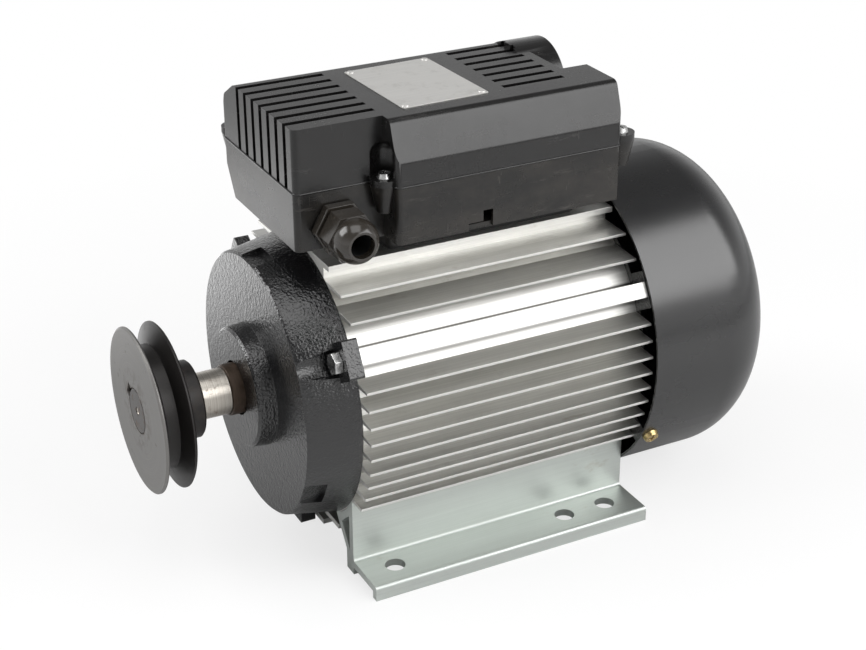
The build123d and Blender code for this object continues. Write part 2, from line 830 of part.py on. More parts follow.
with BuildPart() as governor_pins:
    with BuildSketch(turning_plane):
        with Locations((weight_pivot_station, weight_pivot_r), (weight_pivot_station, -weight_pivot_r)):
            Circle(pivot_pin_r)
    extrude(amount=ear_gap / 2 + ear_plate + 0.5, both=True)
keep(governor_pins, "governor_pins")

block_inner_r = weight_pivot_r + weight_step
weight_middle = weight_pivot_station + finger_width / 2 - weight_length / 2
finger_tip_r = sleeve_groove_r + 2
for label, side in (("flyweight_upper", 1), ("flyweight_lower", -1)):
    with BuildPart() as flyweight:
        with BuildSketch(turning_plane) as lever:
            with Locations((weight_pivot_station, side * weight_pivot_r)):
                Circle(3.2)
            with Locations((weight_pivot_station, side * (finger_tip_r + block_inner_r + 1) / 2)):
                Rectangle(finger_width, block_inner_r + 1 - finger_tip_r)
        extrude(amount=ear_gap / 2 - 0.2, both=True)
        with BuildSketch(turning_plane):
            with Locations((weight_middle, side * (block_inner_r + weight_outer_r) / 2)):
                Rectangle(weight_length, weight_outer_r - block_inner_r)
        extrude(amount=weight_half_width, both=True)
        with BuildSketch(turning_plane):
            with Locations((weight_pivot_station, side * weight_pivot_r)):
                Circle(pivot_pin_r + running_clearance)
        extrude(amount=ear_gap, both=True, mode=Mode.SUBTRACT)
    keep(flyweight, label)

groove_start = weight_pivot_station - finger_width / 2 - 0.7
groove_end = weight_pivot_station + finger_width / 2 + 0.7
sleeve_back = sleeve_station + sleeve_length
with BuildPart() as governor_sleeve:
    turn(
        [
            (sleeve_station, governor_shaft_r + running_clearance),
            (sleeve_station, sleeve_flange_r),
            (groove_start, sleeve_flange_r),
            (groove_start, sleeve_groove_r),
            (groove_end, sleeve_groove_r),
            (groove_end, sleeve_flange_r),
            (sleeve_back, sleeve_flange_r),
            (sleeve_back, governor_shaft_r + running_clearance),
        ]
    )
keep(governor_sleeve, "governor_sleeve")

# Start switch: a fixed board on the fan end shield with a sprung contact arm
with BuildPart() as switch_board:
    tube(switch_station, switch_station + switch_thickness, 16, switch_plate_r)
    with BuildSketch(section(fan_shield_inside)):
        with PolarLocations(switch_post_r, tie_count, start_angle=tie_start):
            Circle(3)
    extrude(amount=fan_shield_inside - switch_station)
    with BuildSketch(section(fan_shield_inside)):
        with PolarLocations(switch_post_r, tie_count, start_angle=tie_start):
            Circle(switch_screw_r + thread_clearance)
    extrude(amount=fan_shield_face, mode=Mode.SUBTRACT)
keep(switch_board, "switch_board")

arm_gap = 0.3
arm_thickness = 0.8
arm_station = sleeve_back + arm_gap
with BuildPart() as switch_arm:
    with BuildSketch(section(arm_station + arm_thickness)):
        RectangleRounded(2 * switch_plate_r - 12, 12, 4)
        Circle(sleeve_flange_r + 1)
        Circle(governor_shaft_r + 2, mode=Mode.SUBTRACT)
    extrude(amount=arm_thickness)
    with BuildSketch(section(switch_station)):
        with Locations((-switch_plate_r + 10, 0), (switch_plate_r - 10, 0)):
            Circle(3)
    extrude(amount=switch_station - arm_station)
keep(switch_arm, "switch_arm")

with BuildPart() as switch_screws:
    with BuildSketch(section(switch_station)):
        with PolarLocations(switch_post_r, tie_count, start_angle=tie_start):
            Circle(2 * switch_screw_r)
    extrude(amount=1.4)
    with BuildSketch(section(fan_shield_inside + switch_screw_depth - 0.5)):
        with PolarLocations(switch_post_r, tie_count, start_angle=tie_start):
            Circle(switch_screw_r)
    extrude(amount=fan_shield_inside + switch_screw_depth - 0.5 - switch_station)
keep(switch_screws, "switch_screws")

# Fan cowl: pressed cup with a ringed grille at its end
with BuildPart() as fan_cowl:
    for inset, mode in ((0.0, Mode.ADD), (cowl_sheet, Mode.SUBTRACT)):
        with BuildSketch(turning_plane):
            with BuildLine():
                corner = (cowl_end - cowl_corner, cowl_r - cowl_corner)
                start = (cowl_start, cowl_r - inset)
                shoulder = (corner[0], cowl_r - inset)
                rim = (cowl_end - inset, corner[1])
                Line(start, shoulder)
                CenterArc(corner, cowl_corner - inset, 0, 90)
                Polyline(rim, (cowl_end - inset, 0), (cowl_start, 0), start)
            make_face()
        revolve(axis=shaft_line, mode=mode)
    with BuildSketch(section(cowl_end)):
        for ring_r in reversed(grille_rings):
            Circle(ring_r + grille_slot / 2)
            Circle(ring_r - grille_slot / 2, mode=Mode.SUBTRACT)
        with PolarLocations(cowl_r / 2, grille_spokes):
            Rectangle(cowl_r, grille_spoke_width, mode=Mode.SUBTRACT)
    extrude(amount=2 * cowl_sheet, mode=Mode.SUBTRACT)
    for angle in cowl_screw_angles:
        with BuildSketch(outward_plane(angle, cowl_screw_station, cowl_inner_r - cowl_sheet)):
            Circle(cowl_screw_d / 2 + thread_clearance)
        extrude(amount=3 * cowl_sheet, mode=Mode.SUBTRACT)
keep(fan_cowl, "fan_cowl")

with BuildPart() as cowl_screws:
    for angle in cowl_screw_angles:
        with BuildSketch(outward_plane(angle, cowl_screw_station, cowl_inner_r - cowl_screw_length + 1)):
            Circle(cowl_screw_d / 2)
        extrude(amount=cowl_screw_length - 1 + cowl_sheet)
        with BuildSketch(outward_plane(angle, cowl_screw_station, cowl_r)):
            Circle(cowl_screw_head_r)
        extrude(amount=cowl_screw_head_height, taper=15)
        with BuildSketch(outward_plane(angle, cowl_screw_station, cowl_r + cowl_screw_head_height - 1)):
            Rectangle(cowl_screw_head_r * 1.3, 0.9)
            Rectangle(0.9, cowl_screw_head_r * 1.3)
        extrude(amount=2, mode=Mode.SUBTRACT)
keep(cowl_screws, "cowl_screws")


box_side = Plane(origin=(box_right, 0, axis_height), x_dir=(0, 1, 0), z_dir=(1, 0, 0))
gland_origin = (0, gland_station, axis_height + gland_height)
gland_plane = Plane(origin=gland_origin, x_dir=(0, 1, 0), z_dir=(1, 0, 0))
gland_profile = Plane(origin=gland_origin, x_dir=(1, 0, 0), z_dir=(0, -1, 0))
gland_line = Axis(gland_origin, (1, 0, 0))


def box_plan(inset, low, high, mode=Mode.ADD):
    """The box's outline from above, pulled in by an inset, between two heights."""
    front = box_front + inset * front_wall / box_wall
    with BuildSketch(level_plane(low)) as plan:
        Polygon(
            (box_left + inset, front),
            (block_right - inset, front),
            (block_right - inset, box_step + inset),
            (box_right - inset, box_step + inset),
            (box_right - inset, box_rear - inset),
            (box_left + inset, box_rear - inset),
            align=None,
        )
        step_corner = Vector(block_right - inset, box_step + inset)
        corners = [v for v in plan.vertices() if (Vector(v.X, v.Y) - step_corner).length > smallest_r]
        fillet(corners, max(box_corner_r - inset, smallest_r))
    extrude(plan.sketch, amount=high - low, mode=mode)


def cover_form(inset, roof):
    """The cover as a solid block, or the room inside it when pulled in by an inset."""
    low = box_parting - 3 * inset
    front = box_front + inset * front_wall / box_wall
    round_r = max(box_edge_r - inset, smallest_r)
    arch = ear_recess_top - ear_recess_r
    with BuildPart() as form:
        with BuildSketch(section(box_rear - inset)):
            with BuildLine():
                profile = FilletPolyline(
                    (box_right, low),
                    (box_right, box_eave),
                    (roof_right, box_roof),
                    (roof_left, box_roof),
                    left_shoulder,
                    (box_left, box_eave),
                    (box_left, low),
                    radius=box_edge_r,
                )
                Line(profile @ 1, profile @ 0)
            make_face()
            if inset:
                offset(amount=-inset, kind=Kind.INTERSECTION, mode=Mode.REPLACE)
        extrude(amount=box_rear - box_front - 2 * inset)
        box_plan(inset, low, roof, Mode.INTERSECT)
        with BuildSketch(box_side):
            with BuildLine():
                ends = FilletPolyline(
                    (front, low),
                    (front, roof),
                    (box_rear - inset, roof),
                    (box_rear - inset, low),
                    radius=round_r,
                )
                Line(ends @ 1, ends @ 0)
            make_face()
        extrude(amount=box_left - box_right, mode=Mode.INTERSECT)
        with BuildSketch(level_plane(low)):
            with Locations(*ear_places):
                Circle(ear_recess_r + inset)
        extrude(amount=arch - low, mode=Mode.SUBTRACT)
        with Locations(level_plane(arch)):
            with Locations(*ear_places):
                Sphere(ear_recess_r + inset, mode=Mode.SUBTRACT)
        with BuildSketch(level_plane(valley_level - inset)):
            with Locations((valley_right + inset, valley_start - inset)):
                Rectangle(box_right - box_left, box_rear, align=(Align.MAX, Align.MIN))
        extrude(amount=box_roof, mode=Mode.SUBTRACT)
        with BuildSketch(section(box_rear - inset)):
            with Locations(dome_place):
                Circle(dome_r - inset)
            with Locations((dome_place[0], valley_level - inset - 1)):
                Rectangle(2 * dome_r, 2 * dome_r, align=(Align.CENTER, Align.MIN), mode=Mode.INTERSECT)
        extrude(amount=box_rear - dome_start - inset)
    return form.part


plate_plane = Plane(
    origin=(*plate_centre, axis_height + box_roof),
    x_dir=(cos(radians(plate_turn)), sin(radians(plate_turn)), 0),
    z_dir=(0, 0, 1),
)
pin_span = (plate_size[0] / 2 - plate_pin_inset, plate_size[1] / 2 - plate_pin_inset)
pin_places = [(side * pin_span[0], end * pin_span[1]) for side in (-1, 1) for end in (-1, 1)]

# Terminal box cover: one moulding with vent slots, four screw ears and a barrel end
with BuildPart() as box_cover:
    add(cover_form(0.0, box_roof))
    box_plan(0.0, box_parting, box_parting + ear_thickness)
    add(cover_form(box_wall, box_roof - vent_depth - box_wall), mode=Mode.SUBTRACT)
    with BuildSketch(level_plane(box_parting)):
        with Locations(*ear_places):
            Circle(ear_r)
    extrude(amount=ear_thickness)
    with BuildSketch(level_plane(box_parting)):
        with Locations(*ear_places):
            Circle(cover_screw_r + thread_clearance)
    extrude(amount=ear_thickness, mode=Mode.SUBTRACT)
    vent_floor = box_roof - vent_depth
    for i in range(vent_count):
        vent_x = slot_first_x + slot_pitch * i - vent_width / 2
        with BuildSketch(box_side.offset(vent_x - box_right)):
            with BuildLine():
                inner = FilletPolyline(
                    (front_vent_end, vent_floor),
                    (box_front + vent_depth, vent_floor),
                    (box_front + vent_depth, box_parting),
                    radius=vent_bend_r,
                )
                Polyline(
                    inner @ 1,
                    (box_front - 1, box_parting),
                    (box_front - 1, box_roof + 1),
                    (front_vent_end, box_roof + 1),
                    inner @ 0,
                )
            make_face()
            with Locations(((rear_vents[0] + rear_vents[1]) / 2, vent_floor)):
                Rectangle(rear_vents[1] - rear_vents[0], 2 * vent_depth, align=(Align.CENTER, Align.MIN))
        extrude(amount=vent_width, mode=Mode.SUBTRACT)
    with BuildSketch(plate_plane):
        with Locations(*pin_places):
            Circle(plate_pin_r)
    extrude(amount=-box_wall, mode=Mode.SUBTRACT)
keep(box_cover, "box_cover")

# Terminal box base: tray on a pedestal that seats on the housing's pad
pedestal_bottom = pad_level + gasket_thickness
floor_level = box_bottom + box_floor
pedestal_middle = (pedestal_front + pedestal_rear) / 2
pedestal_size = (2 * pedestal_half_width, pedestal_rear - pedestal_front)
with BuildPart() as box_base:
    box_plan(0.0, box_bottom, box_parting)
    with BuildSketch(level_plane(box_parting)):
        with Locations(*ear_places):
            Circle(ear_r)
    extrude(amount=-ear_boss_depth, taper=12)
    box_plan(seal_inset, box_parting - seal_height, box_parting, Mode.SUBTRACT)
    box_plan(seal_inset + seal_width, box_parting - seal_height, box_parting)
    box_plan(box_wall, floor_level, box_parting + 1, Mode.SUBTRACT)
    with BuildSketch(section(box_rear)):
        Polygon(
            (box_left, left_taper[0]),
            (left_taper[1], box_bottom),
            (box_left, box_bottom),
            align=None,
        )
    extrude(amount=box_rear - box_front, mode=Mode.SUBTRACT)
    with BuildSketch(section(box_rear - box_wall)):
        Polygon(
            (box_left, left_taper[0]),
            (left_taper[1], box_bottom),
            (left_taper[1] + box_wall + 1, box_bottom),
            (left_taper[1] + box_wall + 1, floor_level),
            (box_left + box_wall, left_taper[0] + 1),
            align=None,
        )
    extrude(amount=box_rear - box_front - 2 * box_wall)
    with BuildSketch(level_plane(pedestal_bottom)):
        with Locations((0, pedestal_middle)):
            RectangleRounded(*pedestal_size, box_edge_r)
    extrude(amount=box_bottom + 0.5 - pedestal_bottom)
    for station in cradle_stations:
        with BuildSketch(section(station + cradle_thickness / 2)):
            for x, z, r, start, end in (start_capacitor_size, run_capacitor_size):
                with Locations((x, (floor_level + cradle_top) / 2 - 1)):
                    Rectangle(1.6 * r, cradle_top - floor_level + 1)
            for x, z, r, start, end in (start_capacitor_size, run_capacitor_size):
                with Locations((x, z)):
                    Circle(r, mode=Mode.SUBTRACT)
        extrude(amount=cradle_thickness)
    with BuildSketch(level_plane(floor_level - 1)):
        with Locations(*[(strap_post_x, y) for y in strap_stations]):
            Rectangle(strap_post_width, strap_width)
        with Locations(board_place):
            with GridLocations(board_size[0] - board_foot, 0, 2, 1):
                Rectangle(board_foot - 2, board_size[1] - 4)
    extrude(amount=board_level - floor_level + 1)
    with BuildSketch(level_plane(floor_level - 0.5)):
        with Locations(*[(strap_post_x, y) for y in strap_stations]):
            Rectangle(strap_post_width, strap_width)
    extrude(amount=run_capacitor_size[1] - floor_level + 0.5)
    with BuildSketch(section(gland_station + gland_boss_width / 2)):
        with Locations((block_right - 2, box_bottom)):
            Rectangle(gland_boss_thickness, gland_boss_top - box_bottom, align=(Align.MAX, Align.MIN))
    extrude(amount=gland_boss_width)
    with BuildSketch(gland_plane):
        Circle(gland_thread_r + thread_clearance)
    extrude(amount=box_right, mode=Mode.SUBTRACT)
    with BuildSketch(level_plane(pedestal_bottom)):
        with Locations((0, lead_hole_station)):
            Circle(lead_hole_r)
        with Locations(*base_screw_places):
            Circle(base_screw_r + thread_clearance)
        with Locations(earth_screw_place):
            Circle(cover_screw_r)
    extrude(amount=floor_level - pedestal_bottom + 5, mode=Mode.SUBTRACT)
    with BuildSketch(level_plane(box_parting)):
        with Locations(*ear_places):
            Circle(cover_screw_r + thread_clearance)
    extrude(amount=-ear_boss_depth + 2, mode=Mode.SUBTRACT)
    with BuildSketch(level_plane(run_capacitor_size[1])):
        with Locations(*[(strap_post_x, y) for y in strap_stations]):
            Circle(cover_screw_r / 2)
    extrude(amount=-ear_boss_depth + 2, mode=Mode.SUBTRACT)
    with BuildSketch(box_side):
        with Locations((notch[0], box_bottom)):
            Rectangle(notch[1] - notch[0], notch[2] - box_bottom, align=(Align.MIN, Align.MIN))
        with Locations((notch_slot[0], box_bottom)):
            Rectangle(notch[1] - notch_slot[0], notch_slot[1] - box_bottom, align=(Align.MIN, Align.MIN))
    extrude(amount=-box_wall, mode=Mode.SUBTRACT)
    with BuildSketch(box_side):
        with Locations(((notch[1] + box_rear) / 2, (box_bottom + ledge_level) / 2)):
            Rectangle(box_rear - notch[1], ledge_level - box_bottom)
    extrude(amount=-wall_step, mode=Mode.SUBTRACT)
keep(box_base, "box_base")

with BuildPart() as cover_seal:
    box_plan(seal_inset, box_parting - seal_height, box_parting)
    box_plan(seal_inset + seal_width, box_parting - seal_height, box_parting, Mode.SUBTRACT)
keep(cover_seal, "cover_seal")

with BuildPart() as box_gasket:
    with BuildSketch(level_plane(pad_level)):
        with Locations((0, pedestal_middle)):
            RectangleRounded(*pedestal_size, box_edge_r)
        with Locations((0, lead_hole_station)):
            Circle(lead_hole_r, mode=Mode.SUBTRACT)
        with Locations(*base_screw_places):
            Circle(base_screw_r + thread_clearance, mode=Mode.SUBTRACT)
    extrude(amount=gasket_thickness)
keep(box_gasket, "box_gasket")


def pan_screws(label, places, seat, shank_r, shank_length, head_r, head_height):
    """Cross-slotted pan head screws that point down from one seat."""
    with BuildPart() as screws:
        with BuildSketch(level_plane(seat)):
            with Locations(*places):
                Circle(shank_r)
        extrude(amount=-shank_length)
        with BuildSketch(level_plane(seat)):
            with Locations(*places):
                Circle(head_r)
        extrude(amount=head_height, taper=18)
        with BuildSketch(level_plane(seat + head_height)):
            with Locations(*places):
                Rectangle(head_r * 1.2, head_r / 5)
                Rectangle(head_r / 5, head_r * 1.2)
        extrude(amount=-head_height / 2, mode=Mode.SUBTRACT)
    keep(screws, label)


pan_screws(
    "cover_screws",
    ear_places,
    box_parting + ear_thickness,
    cover_screw_r,
    ear_thickness + ear_boss_depth - 3,
    cover_screw_head_r,
    cover_screw_head_height,
)
pan_screws("box_base_screws", base_screw_places, floor_level, base_screw_r, base_screw_length, 4.5, 3.0)

# Rating plate: blank, held by four pins
with BuildPart() as rating_plate:
    with BuildSketch(plate_plane):
        RectangleRounded(plate_size[0], plate_size[1], 1)
        with Locations(*pin_places):
            Circle(plate_pin_r, mode=Mode.SUBTRACT)
    extrude(amount=plate_size[2])
keep(rating_plate, "rating_plate")

with BuildPart() as plate_pins:
    with BuildSketch(plate_plane):
        with Locations(*pin_places):
            Circle(plate_pin_r)
    extrude(amount=plate_size[2])
    with BuildSketch(plate_plane):
        with Locations(*pin_places):
            Circle(plate_pin_r)
    extrude(amount=-box_wall + 0.5)
    with BuildSketch(plate_plane.offset(plate_size[2])):
        with Locations(*pin_places):
            Circle(1.6 * plate_pin_r)
    extrude(amount=0.5, taper=30)
keep(plate_pins, "plate_pins")

# Capacitors: cans along the box with two blade terminals at the front
for label, (x, z, r, start, end) in (
    ("start_capacitor", start_capacitor_size),
    ("run_capacitor", run_capacitor_size),
):
    with BuildPart() as capacitor:
        with BuildSketch(section(end)):
            with Locations((x, z)):
                Circle(r)
        extrude(amount=end - start)
        with BuildSketch(section(start + 1)):
            with Locations((x - r / 2, z), (x + r / 2, z)):
                Rectangle(*blade_size[:2])
        extrude(amount=blade_size[2])
    keep(capacitor, label)

with BuildPart() as capacitor_straps:
    for station in strap_stations:
        with BuildSketch(section(station + strap_width / 2)):
            for x, z, r, start, end in (start_capacitor_size, run_capacitor_size):
                with Locations((x, z)):
                    Circle(r + strap_thickness)
                    Circle(r, mode=Mode.SUBTRACT)
            with Locations((strap_post_x, run_capacitor_size[1])):
                Rectangle(strap_span, strap_rise, align=(Align.CENTER, Align.MIN), mode=Mode.INTERSECT)
            with Locations((strap_post_x, run_capacitor_size[1])):
                Rectangle(strap_bridge, strap_thickness, align=(Align.CENTER, Align.MIN))
            for x, z, r, start, end in (start_capacitor_size, run_capacitor_size):
                with Locations((x, z)):
                    Circle(r, mode=Mode.SUBTRACT)
        extrude(amount=strap_width)
    with BuildSketch(level_plane(run_capacitor_size[1])):
        with Locations(*[(strap_post_x, y) for y in strap_stations]):
            Circle(cover_screw_r / 2)
    extrude(amount=strap_thickness, mode=Mode.SUBTRACT)
keep(capacitor_straps, "capacitor_straps")

pan_screws(
    "strap_screws",
    [(strap_post_x, y) for y in strap_stations],
    run_capacitor_size[1] + strap_thickness,
    cover_screw_r / 2,
    8.0,
    2.4,
    1.4,
)

# Terminal board with two rows of studs and links between their nuts
stud_places = [
    (board_place[0] + stud_pitch[0] * i, board_place[1] + stud_pitch[1] * side / 2)
    for i in (-1, 0, 1)
    for side in (-1, 1)
]
board_top = board_level + board_size[2]
with BuildPart() as terminal_board:
    with BuildSketch(level_plane(board_level)):
        with Locations(board_place):
            RectangleRounded(board_size[0], board_size[1], 2)
        with Locations(*stud_places):
            Circle(stud_r, mode=Mode.SUBTRACT)
    extrude(amount=board_size[2])
keep(terminal_board, "terminal_board")

with BuildPart() as terminal_studs:
    with BuildSketch(level_plane(board_level + 0.5)):
        with Locations(*stud_places):
            Circle(stud_r)
    extrude(amount=board_size[2] + stud_height)
    with BuildSketch(level_plane(board_top + link_thickness)):
        with Locations(*stud_places):
            RegularPolygon(stud_nut_flats / 2, 6, major_radius=False)
    extrude(amount=3)
keep(terminal_studs, "terminal_studs")

with BuildPart() as terminal_links:
    with BuildSketch(level_plane(board_top)):
        for i in (-1, 0, 1):
            with Locations((board_place[0] + stud_pitch[0] * i, board_place[1])):
                SlotOverall(stud_pitch[1] + stud_nut_flats, stud_nut_flats, rotation=90)
        with Locations(*stud_places):
            Circle(stud_r, mode=Mode.SUBTRACT)
    extrude(amount=link_thickness)
keep(terminal_links, "terminal_links")

# Cable gland: body through the box wall, washer, rubber seal and dome nut
washer_thickness = 1.0
flange_start = block_right + washer_thickness
flange_end = flange_start + 5
seal_start = gland_end - 13.5
seal_end = seal_start + 9.0
with BuildPart() as gland_body:
    with BuildSketch(gland_plane.offset(flange_start)):
        RegularPolygon(gland_flats / 2, 6, major_radius=False)
    extrude(amount=flange_end - flange_start)
    with BuildSketch(gland_plane.offset(block_right - gland_tail)):
        Circle(gland_thread_r)
    extrude(amount=gland_tail + flange_end - block_right)
    with BuildSketch(gland_plane.offset(flange_end)):
        Circle(gland_tube_r)
    extrude(amount=seal_start - flange_end)
    with BuildSketch(gland_plane.offset(block_right - gland_tail)):
        Circle(gland_bore_r)
    extrude(amount=gland_end, mode=Mode.SUBTRACT)
keep(gland_body, "gland_body")

with BuildPart() as gland_washer:
    with BuildSketch(gland_plane.offset(block_right)):
        Circle(gland_flats / 2 - 0.5)
        Circle(gland_thread_r, mode=Mode.SUBTRACT)
    extrude(amount=washer_thickness)
keep(gland_washer, "gland_washer")

with BuildPart() as gland_seal:
    with BuildSketch(gland_plane.offset(seal_start)):
        Circle(gland_tube_r)
        Circle(gland_bore_r, mode=Mode.SUBTRACT)
    extrude(amount=seal_end - seal_start)
keep(gland_seal, "gland_seal")

with BuildPart() as gland_nut:
    with BuildSketch(gland_profile):
        with BuildLine():
            dome = SagittaArc((nut_shoulder, gland_nut_r), (gland_end, gland_mouth_r), dome_bulge)
            Polyline(
                dome @ 1,
                (gland_end, gland_bore_r),
                (seal_end, gland_bore_r),
                (seal_end, gland_tube_r),
                (gland_nut_start, gland_tube_r),
                (gland_nut_start, gland_nut_r),
                dome @ 0,
            )
        make_face()
    revolve(axis=gland_line)
    with BuildSketch(gland_plane.offset(gland_nut_start)):
        RegularPolygon(gland_flats / 2 - 1, 6, major_radius=False)
        Circle(gland_tube_r, mode=Mode.SUBTRACT)
    extrude(amount=nut_shoulder - gland_nut_start)
keep(gland_nut, "gland_nut")

# Earth screw on the base floor's pedestal, for the earth lead
pan_screws("earth_screw", [earth_screw_place], floor_level, 2.0, 8.0, 4.0, 2.6)
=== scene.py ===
"""Foot-mounted electric motor with a belt pulley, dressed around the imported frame.

It holds the finishes, the rounded edges, the terminal box's parting lip, the light and the camera.
"""

from __future__ import annotations

import json
import logging
import math
from dataclasses import dataclass
from enum import Enum
from typing import Any, Sequence

import bmesh
import bpy
import numpy as np
from mathutils import Matrix

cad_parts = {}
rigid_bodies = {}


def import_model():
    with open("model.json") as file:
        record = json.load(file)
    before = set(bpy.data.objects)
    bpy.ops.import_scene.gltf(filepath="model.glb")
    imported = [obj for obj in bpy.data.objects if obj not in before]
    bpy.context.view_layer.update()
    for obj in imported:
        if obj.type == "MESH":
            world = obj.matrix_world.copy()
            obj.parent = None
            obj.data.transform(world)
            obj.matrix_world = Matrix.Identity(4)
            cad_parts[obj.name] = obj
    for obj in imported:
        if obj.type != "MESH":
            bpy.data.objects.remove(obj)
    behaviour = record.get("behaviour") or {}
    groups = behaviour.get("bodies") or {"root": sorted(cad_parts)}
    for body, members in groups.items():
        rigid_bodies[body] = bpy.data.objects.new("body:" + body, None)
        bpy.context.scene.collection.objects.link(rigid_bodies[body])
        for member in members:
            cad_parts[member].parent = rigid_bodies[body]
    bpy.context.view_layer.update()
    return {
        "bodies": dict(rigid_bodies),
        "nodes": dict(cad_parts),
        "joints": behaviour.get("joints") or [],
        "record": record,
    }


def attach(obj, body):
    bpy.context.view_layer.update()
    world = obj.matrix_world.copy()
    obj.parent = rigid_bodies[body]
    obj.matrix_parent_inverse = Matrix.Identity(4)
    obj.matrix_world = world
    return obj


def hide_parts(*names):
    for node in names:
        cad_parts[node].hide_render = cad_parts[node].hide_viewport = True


LOG = logging.getLogger("motor")
Colour = tuple[float, float, float]
Point = tuple[float, float, float]
Band = tuple[float, float]

MM = 0.001
SHAFT_HEIGHT = 90.0
WHITE = (1.0, 1.0, 1.0, 1.0)
NOISE_MIDDLE = 0.5

# Angles in degrees: where shading breaks, where an edge is rounded, and what counts as flat
SHARP_ANGLE = 32.0
ROUNDED_ANGLE = 35.0
FLAT_ANGLE = 0.8

# Distances in metres under which points are merged
MERGE_DISTANCE = 1e-6
CAD_MERGE_DISTANCE = 2e-6

EDGE_SEGMENTS = 2
WIDE_EDGE_SEGMENTS = 5


class Finish(Enum):
    """The finishes, by the names of their materials."""

    BARE_ALUMINIUM = "bare_aluminium"
    DRAWN_FOOT = "drawn_foot"
    BLACK_CASTING = "black_casting"
    BLACK_SHEET = "black_sheet"
    BLACK_PLASTIC = "black_plastic"
    DUSTY_PLASTIC = "dusty_plastic"
    WHITE_PLASTIC = "white_plastic"
    GREY_NYLON = "grey_nylon"
    BLACK_RUBBER = "black_rubber"
    BROWN_BOARD = "brown_board"
    BRIGHT_STEEL = "bright_steel"
    BROWN_STEEL = "brown_steel"
    MACHINED_IRON = "machined_iron"
    CORE_STEEL = "core_steel"
    BEARING_STEEL = "bearing_steel"
    ZINC_STEEL = "zinc_steel"
    PRESSED_STEEL = "pressed_steel"
    YELLOW_ZINC = "yellow_zinc"
    BRASS_PARTS = "brass_parts"
    COPPER_WIRE = "copper_wire"
    BLANK_PLATE = "blank_plate"


# ---------------------------------------------------------------- shader maths


class Wire:
    """A shader socket whose arithmetic adds Math nodes to its tree."""

    def __init__(self, tree: bpy.types.NodeTree, socket: bpy.types.NodeSocket) -> None:
        """Keep the tree and the socket."""
        self.tree = tree
        self.socket = socket

    def _math(self, operation: str, *values: Wire | float) -> Wire:
        """Add one Math node.

        Args:
            operation: Name of the Math node's operation.
            values: Wires or numbers for its inputs.

        Returns:
            The node's result.
        """
        node = self.tree.nodes.new("ShaderNodeMath")
        node.operation = operation
        for index, value in enumerate(values):
            if isinstance(value, Wire):
                self.tree.links.new(value.socket, node.inputs[index])
            else:
                node.inputs[index].default_value = float(value)
        return Wire(self.tree, node.outputs[0])

    def __add__(self, other: Wire | float) -> Wire:
        """Sum."""
        return self._math("ADD", self, other)

    __radd__ = __add__

    def __sub__(self, other: Wire | float) -> Wire:
        """Difference."""
        return self._math("SUBTRACT", self, other)

    def __rsub__(self, other: float) -> Wire:
        """Reflected difference."""
        return self._math("SUBTRACT", other, self)

    def __mul__(self, other: Wire | float) -> Wire:
        """Product."""
        return self._math("MULTIPLY", self, other)

    __rmul__ = __mul__

    def __truediv__(self, other: Wire | float) -> Wire:
        """Quotient."""
        return self._math("DIVIDE", self, other)

    def __rtruediv__(self, other: float) -> Wire:
        """Reflected quotient."""
        return self._math("DIVIDE", other, self)

    def at_most(self, other: Wire | float) -> Wire:
        """The lesser of two values."""
        return self._math("MINIMUM", self, other)

    def at_least(self, other: Wire | float) -> Wire:
        """The greater of two values."""
        return self._math("MAXIMUM", self, other)

    def held(self) -> Wire:
        """The value held between 0 and 1."""
        return self.at_least(0.0).at_most(1.0)

    def sine(self) -> Wire:
        """Sine of the value in radians."""
        return self._math("SINE", self)

    def bell(self) -> Wire:
        """The number e to the power of minus the value's square: 1 at 0, falling to both sides."""
        return self._math("EXPONENT", self * self * -1.0)

    def hypot(self, other: Wire) -> Wire:
        """Root of the sum of the two values' squares."""
        return self._math("SQRT", self * self + other * other)


@dataclass(frozen=True)
class Pattern:
    """Fractal noise: patterns per metre, octaves, stretch, and weight of the finer octaves.

    The stretch scales each axis: a small number draws the pattern out along that axis.
    """

    scale: float
    detail: float = 3.0
    stretch: Point = (1.0, 1.0, 1.0)
    rough: float = 0.5


def rgba(colour: Any) -> Any:
    """Make three numbers an opaque colour.

    Args:
        colour: Three numbers, or anything else that an input takes.

    Returns:
        Four numbers for three; anything else as it is.
    """
    if isinstance(colour, tuple) and len(colour) == 3:
        return (*colour, 1.0)
    return colour


class Tree:
    """A node tree and the ways to add to it."""

    def __init__(self, tree: bpy.types.NodeTree) -> None:
        """Keep the tree and empty it."""
        self.tree = tree
        self.tree.nodes.clear()

    def add(
        self, kind: str, settings: dict[str, Any] | None = None, **sockets: Any
    ) -> bpy.types.Node:
        """Add a node.

        Args:
            kind: Blender's name for the node's type.
            settings: Properties that are set before the sockets.
            sockets: Socket names, with underscores for spaces, and their values, wires or sockets.

        Returns:
            The new node.
        """
        node = self.tree.nodes.new(kind)
        for key, value in (settings or {}).items():
            setattr(node, key, value)
        for key, value in sockets.items():
            self.feed(node.inputs[key.replace("_", " ")], value)
        return node

    def feed(self, socket: bpy.types.NodeSocket, value: Any) -> None:
        """Link or set an input.

        Args:
            socket: The input.
            value: Wire or output to link to it, or the value that it gets.
        """
        if isinstance(value, Wire):
            self.tree.links.new(value.socket, socket)
        elif isinstance(value, bpy.types.NodeSocket):
            self.tree.links.new(value, socket)
        else:
            socket.default_value = value

    def wire(self, socket: bpy.types.NodeSocket) -> Wire:
        """An output as a wire."""
        return Wire(self.tree, socket)

    def coordinates(self, kind: str) -> bpy.types.NodeSocket:
        """Coordinates of one kind, such as Object."""
        return self.add("ShaderNodeTexCoord").outputs[kind]

    def split(self, vector: bpy.types.NodeSocket) -> tuple[Wire, ...]:
        """The three parts of a vector."""
        parts = self.add("ShaderNodeSeparateXYZ", Vector=vector).outputs
        return tuple(self.wire(part) for part in parts)


